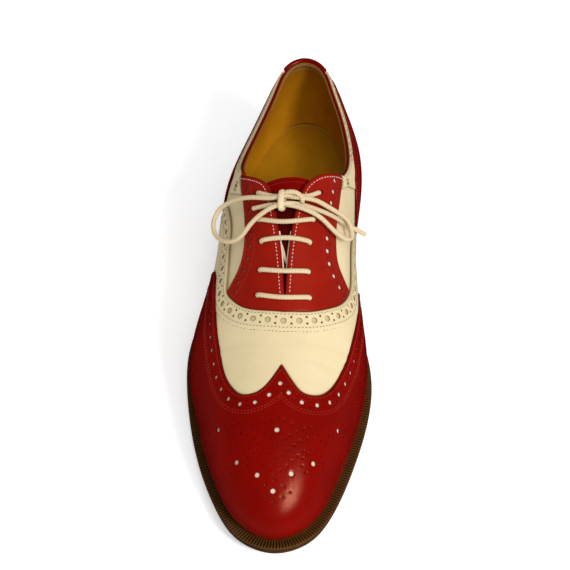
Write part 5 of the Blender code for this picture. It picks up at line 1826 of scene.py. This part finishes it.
inside = np.linspace(-GRIP_REACH, GRIP_REACH, 120)
grip_drop = GRIP_DROP[1] + (GRIP_DROP[0] - GRIP_DROP[1]) * np.cos(np.pi / 2 * inside / GRIP_REACH) ** 2
grip_line = heel_edge(inside)
grip_rows = [rear_rows(grip_line, lambda s, share=share: collar_height(s) - GRIP_BELOW - share * grip_drop)
             for share in np.linspace(0, 1, 7)]
grip_flat = np.stack([np.stack([inside, row], -1) for row in grip_rows], 1)
solid_sheet("heel_grip", RearChart.plan(grip_flat), *GRIP_LIFTS, GRIP, "lining_leather")
stitch("lining", RearChart, grip_flat[:, -2], GRIP_LIFTS[1], outwards=-1)
for kind in STITCH_SIZE:
    sew(kind)

# %% [markdown]
# ## Welt, sole and heel
# The welt is a strip of leather round the shoe whose top is pressed into fine ribs by a notched
# wheel. The outsole below has a waxed edge and a closed channel that hides its seam. The heel is
# built of leather lifts with a rubber top piece. Each is a stack of rings that follow the outline,
# so every ring only needs its inset and its height.

# %% rings of the sole
SOLE_HALF = 260
SOCK_INSET = 3.6
SOCK_THICK = 0.8
SOCK_SHORT = 1.4
SOCK_BACK = 30.0
RIB_PITCH = 1.75
RIB_POINTS = 4
RIB_DEPTH = 0.8


def half_loops(outline, count):
    """Matched lateral and medial points of an outline, joined into one loop."""
    shares = np.linspace(0, 1, count + 1)
    lateral = along(outline.lateral, shares)
    medial = along(outline.medial, shares)
    return np.vstack([lateral, medial[-2:0:-1]])


def loop_inset(loop, amount):
    ahead = unit(np.roll(loop, -1, axis=0) - np.roll(loop, 1, axis=0))
    return loop + amount * np.stack([ahead[:, 1], -ahead[:, 0]], -1)


def stack_rings(name, loop, rings, paint, slot, nodes, mark=None):
    """Solid from rings of (inset, height function), closed above and below across the sole."""
    rows_of = [loop_inset(loop, inset) for inset, _ in rings]
    points = np.stack([np.c_[row, height(row[:, 1])] for row, (_, height) in zip(rows_of, rings)], 1)
    count, rows_count = points.shape[:2]
    faces = grid_faces(count, rows_count, close_columns=True)
    half = count // 2
    for j in (0, rows_count - 1):
        for i in range(half):
            a, b = i * rows_count + j, (i + 1) * rows_count + j
            c, d = (count - i - 1) % count * rows_count + j, (count - i) % count * rows_count + j
            corners = list(dict.fromkeys((a, b, c, d)))
            if len(corners) > 2:
                faces.append(tuple(corners))
    marks = np.tile([0.0] * rows_count if mark is None else mark, count)
    return make_piece(name, points.reshape(-1, 3), faces, paint, slot, nodes, marks)


# %% welt with its pressed ribs
def make_welt():
    girth = np.linalg.norm(np.diff(SOLE.points, axis=0), axis=1).sum()
    half = int(girth / 2 / RIB_PITCH) * RIB_POINTS
    outer = half_loops(SOLE, half)
    # The ribs run straight in from the edge, so the inner points lie square to it.
    inwards = loop_inset(outer, 1.0) - outer
    width = np.sum((half_loops(LAST.inset(WELT_INSIDE), half) - outer) * inwards, axis=1)
    inner = outer + width[:, None] * inwards
    phase = np.arange(len(outer)) % RIB_POINTS / RIB_POINTS
    rib = 0.5 - 0.5 * np.cos(2 * np.pi * phase)
    # Rows of the section: share inwards, rise from the welt's foot, depth of the ribs
    section = [
        (0.020, GAP, 0.0), (-0.012, 0.30 * WELT_THICK, 0.15), (-0.020, 0.60 * WELT_THICK, 0.45),
        (0.000, 0.88 * WELT_THICK, 0.9), (0.030, WELT_THICK, 1.0), (0.10, WELT_THICK, 1.0),
        (0.20, WELT_THICK, 1.0), (0.30, WELT_THICK, 1.0), (0.38, WELT_THICK, 0.5),
        (0.43, WELT_THICK, 0.0), (1.0, WELT_THICK, 0.0), (1.0, GAP, 0.0),
    ]
    columns_of, marks = [], []
    for share, rise, depth in section:
        row = outer + share * (inner - outer)
        top = rise >= 0.8 * WELT_THICK
        cut = depth * rib
        sunk = RIB_DEPTH * cut if top else 0.0
        side = loop_inset(row, 0.0 if top else 0.25 * cut.max())
        columns_of.append(np.c_[side, outsole_top(row[:, 1]) + rise - sunk])
        # On the top, the grooves between the ribs are painted darker, as painted shade.
        marks.append(np.clip(cut, 0, 1) if top else np.full(len(row), 0.12))
    points = np.stack(columns_of, 1)
    faces = grid_faces(len(outer), len(section), True, True)
    marks = np.stack(marks, 1).ravel()
    return make_piece("welt_ribbed", points.reshape(-1, 3), faces, WELT, "welt_leather", ("welt",), marks)


make_welt()

# %% outsole, insole and sock
outsole_loop = half_loops(SOLE.inset(OUTSOLE_TRIM), SOLE_HALF)
stack_rings(
    "outsole_leather",
    outsole_loop,
    [
        (3.0, outsole_top),
        (0.25, outsole_top),
        (0.0, lambda s: outsole_top(s) - 0.35),
        (-0.25, lambda s: sole_bottom(s) + 0.62 * SOLE_THICK),
        (-0.15, lambda s: sole_bottom(s) + 0.25 * SOLE_THICK),
        (0.35, lambda s: sole_bottom(s) + 0.35),
        (1.1, sole_bottom),
        (5.4, sole_bottom),
        (5.8, lambda s: sole_bottom(s) + 0.4),
        (6.2, sole_bottom),
        (9.0, sole_bottom),
    ],
    SOLE_LEATHER, "sole_leather", ("outsole",),
    [0.3, 0.5, 0.8, 0.1, 0.0, 0.1, 0.2, 0.0, 1.0, 0.0, 0.0],
)
stack_rings(
    "insole_sock",
    half_loops(LAST.inset(WELT_INSIDE + GAP), SOLE_HALF // 2),
    [
        (0.0, lambda s: outsole_top(s) + GAP),
        (0.0, lambda s: feather_height(s) - 0.3),
        (0.4, feather_height),
        (2.0, feather_height),
    ],
    LINING, "lining_leather", ("insole",), [0.3, 0.3, 0.1, 0.0],
)
sock_loop = half_loops(LAST.inset(SOCK_INSET), SOLE_HALF // 2)
sock_loop[:, 1] += SOCK_SHORT * np.exp(-((sock_loop[:, 1] / SOCK_BACK) ** 2))
stack_rings(
    "sock_lining",
    sock_loop,
    [
        (0.0, lambda s: feather_height(s) + 0.05),
        (0.0, lambda s: feather_height(s) + 0.45),
        (0.3, lambda s: feather_height(s) + SOCK_THICK),
        (2.0, lambda s: feather_height(s) + SOCK_THICK),
    ],
    SOCK, "lining_leather", (), [0.3, 0.8, 1.0, 0.0],
)


# %% [markdown]
# The lifts of the heel are cut in the shape of a D, a little smaller towards the floor. The rubber
# top piece is flat, and the leather lifts above it share the slope up to the outsole.

# %% heel
def heel_loop(inset, breast):
    """D-shaped loop of a heel lift: round the back, straight across the breast."""
    outline = SOLE.inset(inset)
    sides = []
    for branch in (outline.lateral, outline.medial):
        part = branch[branch[:, 1] < breast]
        end = [[np.interp(breast, branch[:, 1], branch[:, 0]), breast]]
        sides.append(along(np.vstack([part, end]), np.linspace(0, 1, 60)))
    front = np.linspace(sides[0][-1], sides[1][-1], 22)[1:-1]
    return np.vstack([sides[0], front, sides[1][:0:-1]])


def lift_surface(station, step):
    """Top of a heel lift: flat on the top piece, then parted evenly up to the outsole."""
    if step < 0:
        return np.zeros_like(station)
    return TOP_LIFT_THICK + (sole_bottom(station) - GAP - TOP_LIFT_THICK) * step / HEEL_LIFTS


def lift_rings(step):
    """Rings of one lift from its top down to the lift below, a gap apart."""
    gap = GAP if step else 0.0

    def top(station):
        return lift_surface(station, step)

    def foot(station):
        return lift_surface(station, step - 1) + gap

    return [
        (1.5, top), (0.25, top), (0.0, lambda s: top(s) - 0.3), (0.0, lambda s: foot(s) + 0.35),
        (0.3, foot), (1.5, foot),
    ]


LIFT_TONES = [0.2, 0.8, 0.6, 0.0, 0.6, 0.0]
for k in range(HEEL_LIFTS + 1):
    loop = heel_loop(HEEL_INSET - HEEL_FLARE * k, HEEL_BREAST - HEEL_FLARE * (HEEL_LIFTS - k))
    name, node = (f"heel_leather_{k}", f"heel_lift_{k}") if k else ("heel_top_rubber", "heel_top_lift")
    paint, slot = (SOLE_LEATHER, "sole_leather") if k else (RUBBER, "heel_rubber")
    stack_rings(name, loop, lift_rings(k), paint, slot, (node,), LIFT_TONES)

# %% [markdown]
# ## Floor and light
# The shoe stands on a plain pale floor in soft studio light. A small light in front and to the
# right makes the shine on the toe, one above and a large one in front light the leather, and a pale
# sky fills the shadows. The floor glows a little, like paper lit from behind, so that it stays
# white. Only the small light is seen in the polish, as in a dark studio.

# %% floor and light
FLOOR_SIZE = 6.0

# Lights: name, place, size, power, seen in the polish
LIGHTS = [
    ("key", (1.60, -1.64, 2.12), 0.60, 62.0, True),
    ("front", (0.60, -2.00, 2.70), 2.6, 24.0, False),
    ("top", (0.45, -0.90, 3.10), 1.0, 16.0, False),
]
LIGHT_AIM = (0, -0.02, 0.04)
SKY = 0.46
FLOOR_TONE = 0.93
FLOOR_ROUGH = 0.9
FLOOR_GLOW = 0.34

floor_mesh = bpy.data.meshes.new("floor")
half = FLOOR_SIZE / 2
corners = [(-half, -half, 0), (half, -half, 0), (half, half, 0), (-half, half, 0)]
floor_mesh.from_pydata(corners, [], [(0, 1, 2, 3)])
floor = bpy.data.objects.new("floor", floor_mesh)
bpy.context.scene.collection.objects.link(floor)
pale = bpy.data.materials.new("pale_floor")
pale.use_nodes = True
paper = pale.node_tree.nodes["Principled BSDF"]
paper.inputs["Base Color"].default_value = (FLOOR_TONE, FLOOR_TONE, FLOOR_TONE, 1)
paper.inputs["Roughness"].default_value = FLOOR_ROUGH
paper.inputs["Emission Color"].default_value = (1, 1, 1, 1)
paper.inputs["Emission Strength"].default_value = FLOOR_GLOW
floor_mesh.materials.append(pale)
floor.visible_glossy = False
for name, place, size, power, shines in LIGHTS:
    data = bpy.data.lights.new(name, "AREA")
    data.size = size
    data.energy = power
    lamp = bpy.data.objects.new(name, data)
    lamp.location = place
    lamp.rotation_euler = (Vector(LIGHT_AIM) - Vector(place)).to_track_quat("-Z", "Y").to_euler()
    lamp.visible_glossy = shines
    bpy.context.scene.collection.objects.link(lamp)
world_light = bpy.data.worlds.new("sky")
bpy.context.scene.world = world_light
world_light.use_nodes = True
world_light.node_tree.nodes["Background"].inputs["Color"].default_value = (1, 1, 1, 1)
world_light.node_tree.nodes["Background"].inputs["Strength"].default_value = SKY
world_light.cycles_visibility.glossy = False
bpy.context.scene.view_settings.view_transform = "Standard"
print("lights", len(LIGHTS))
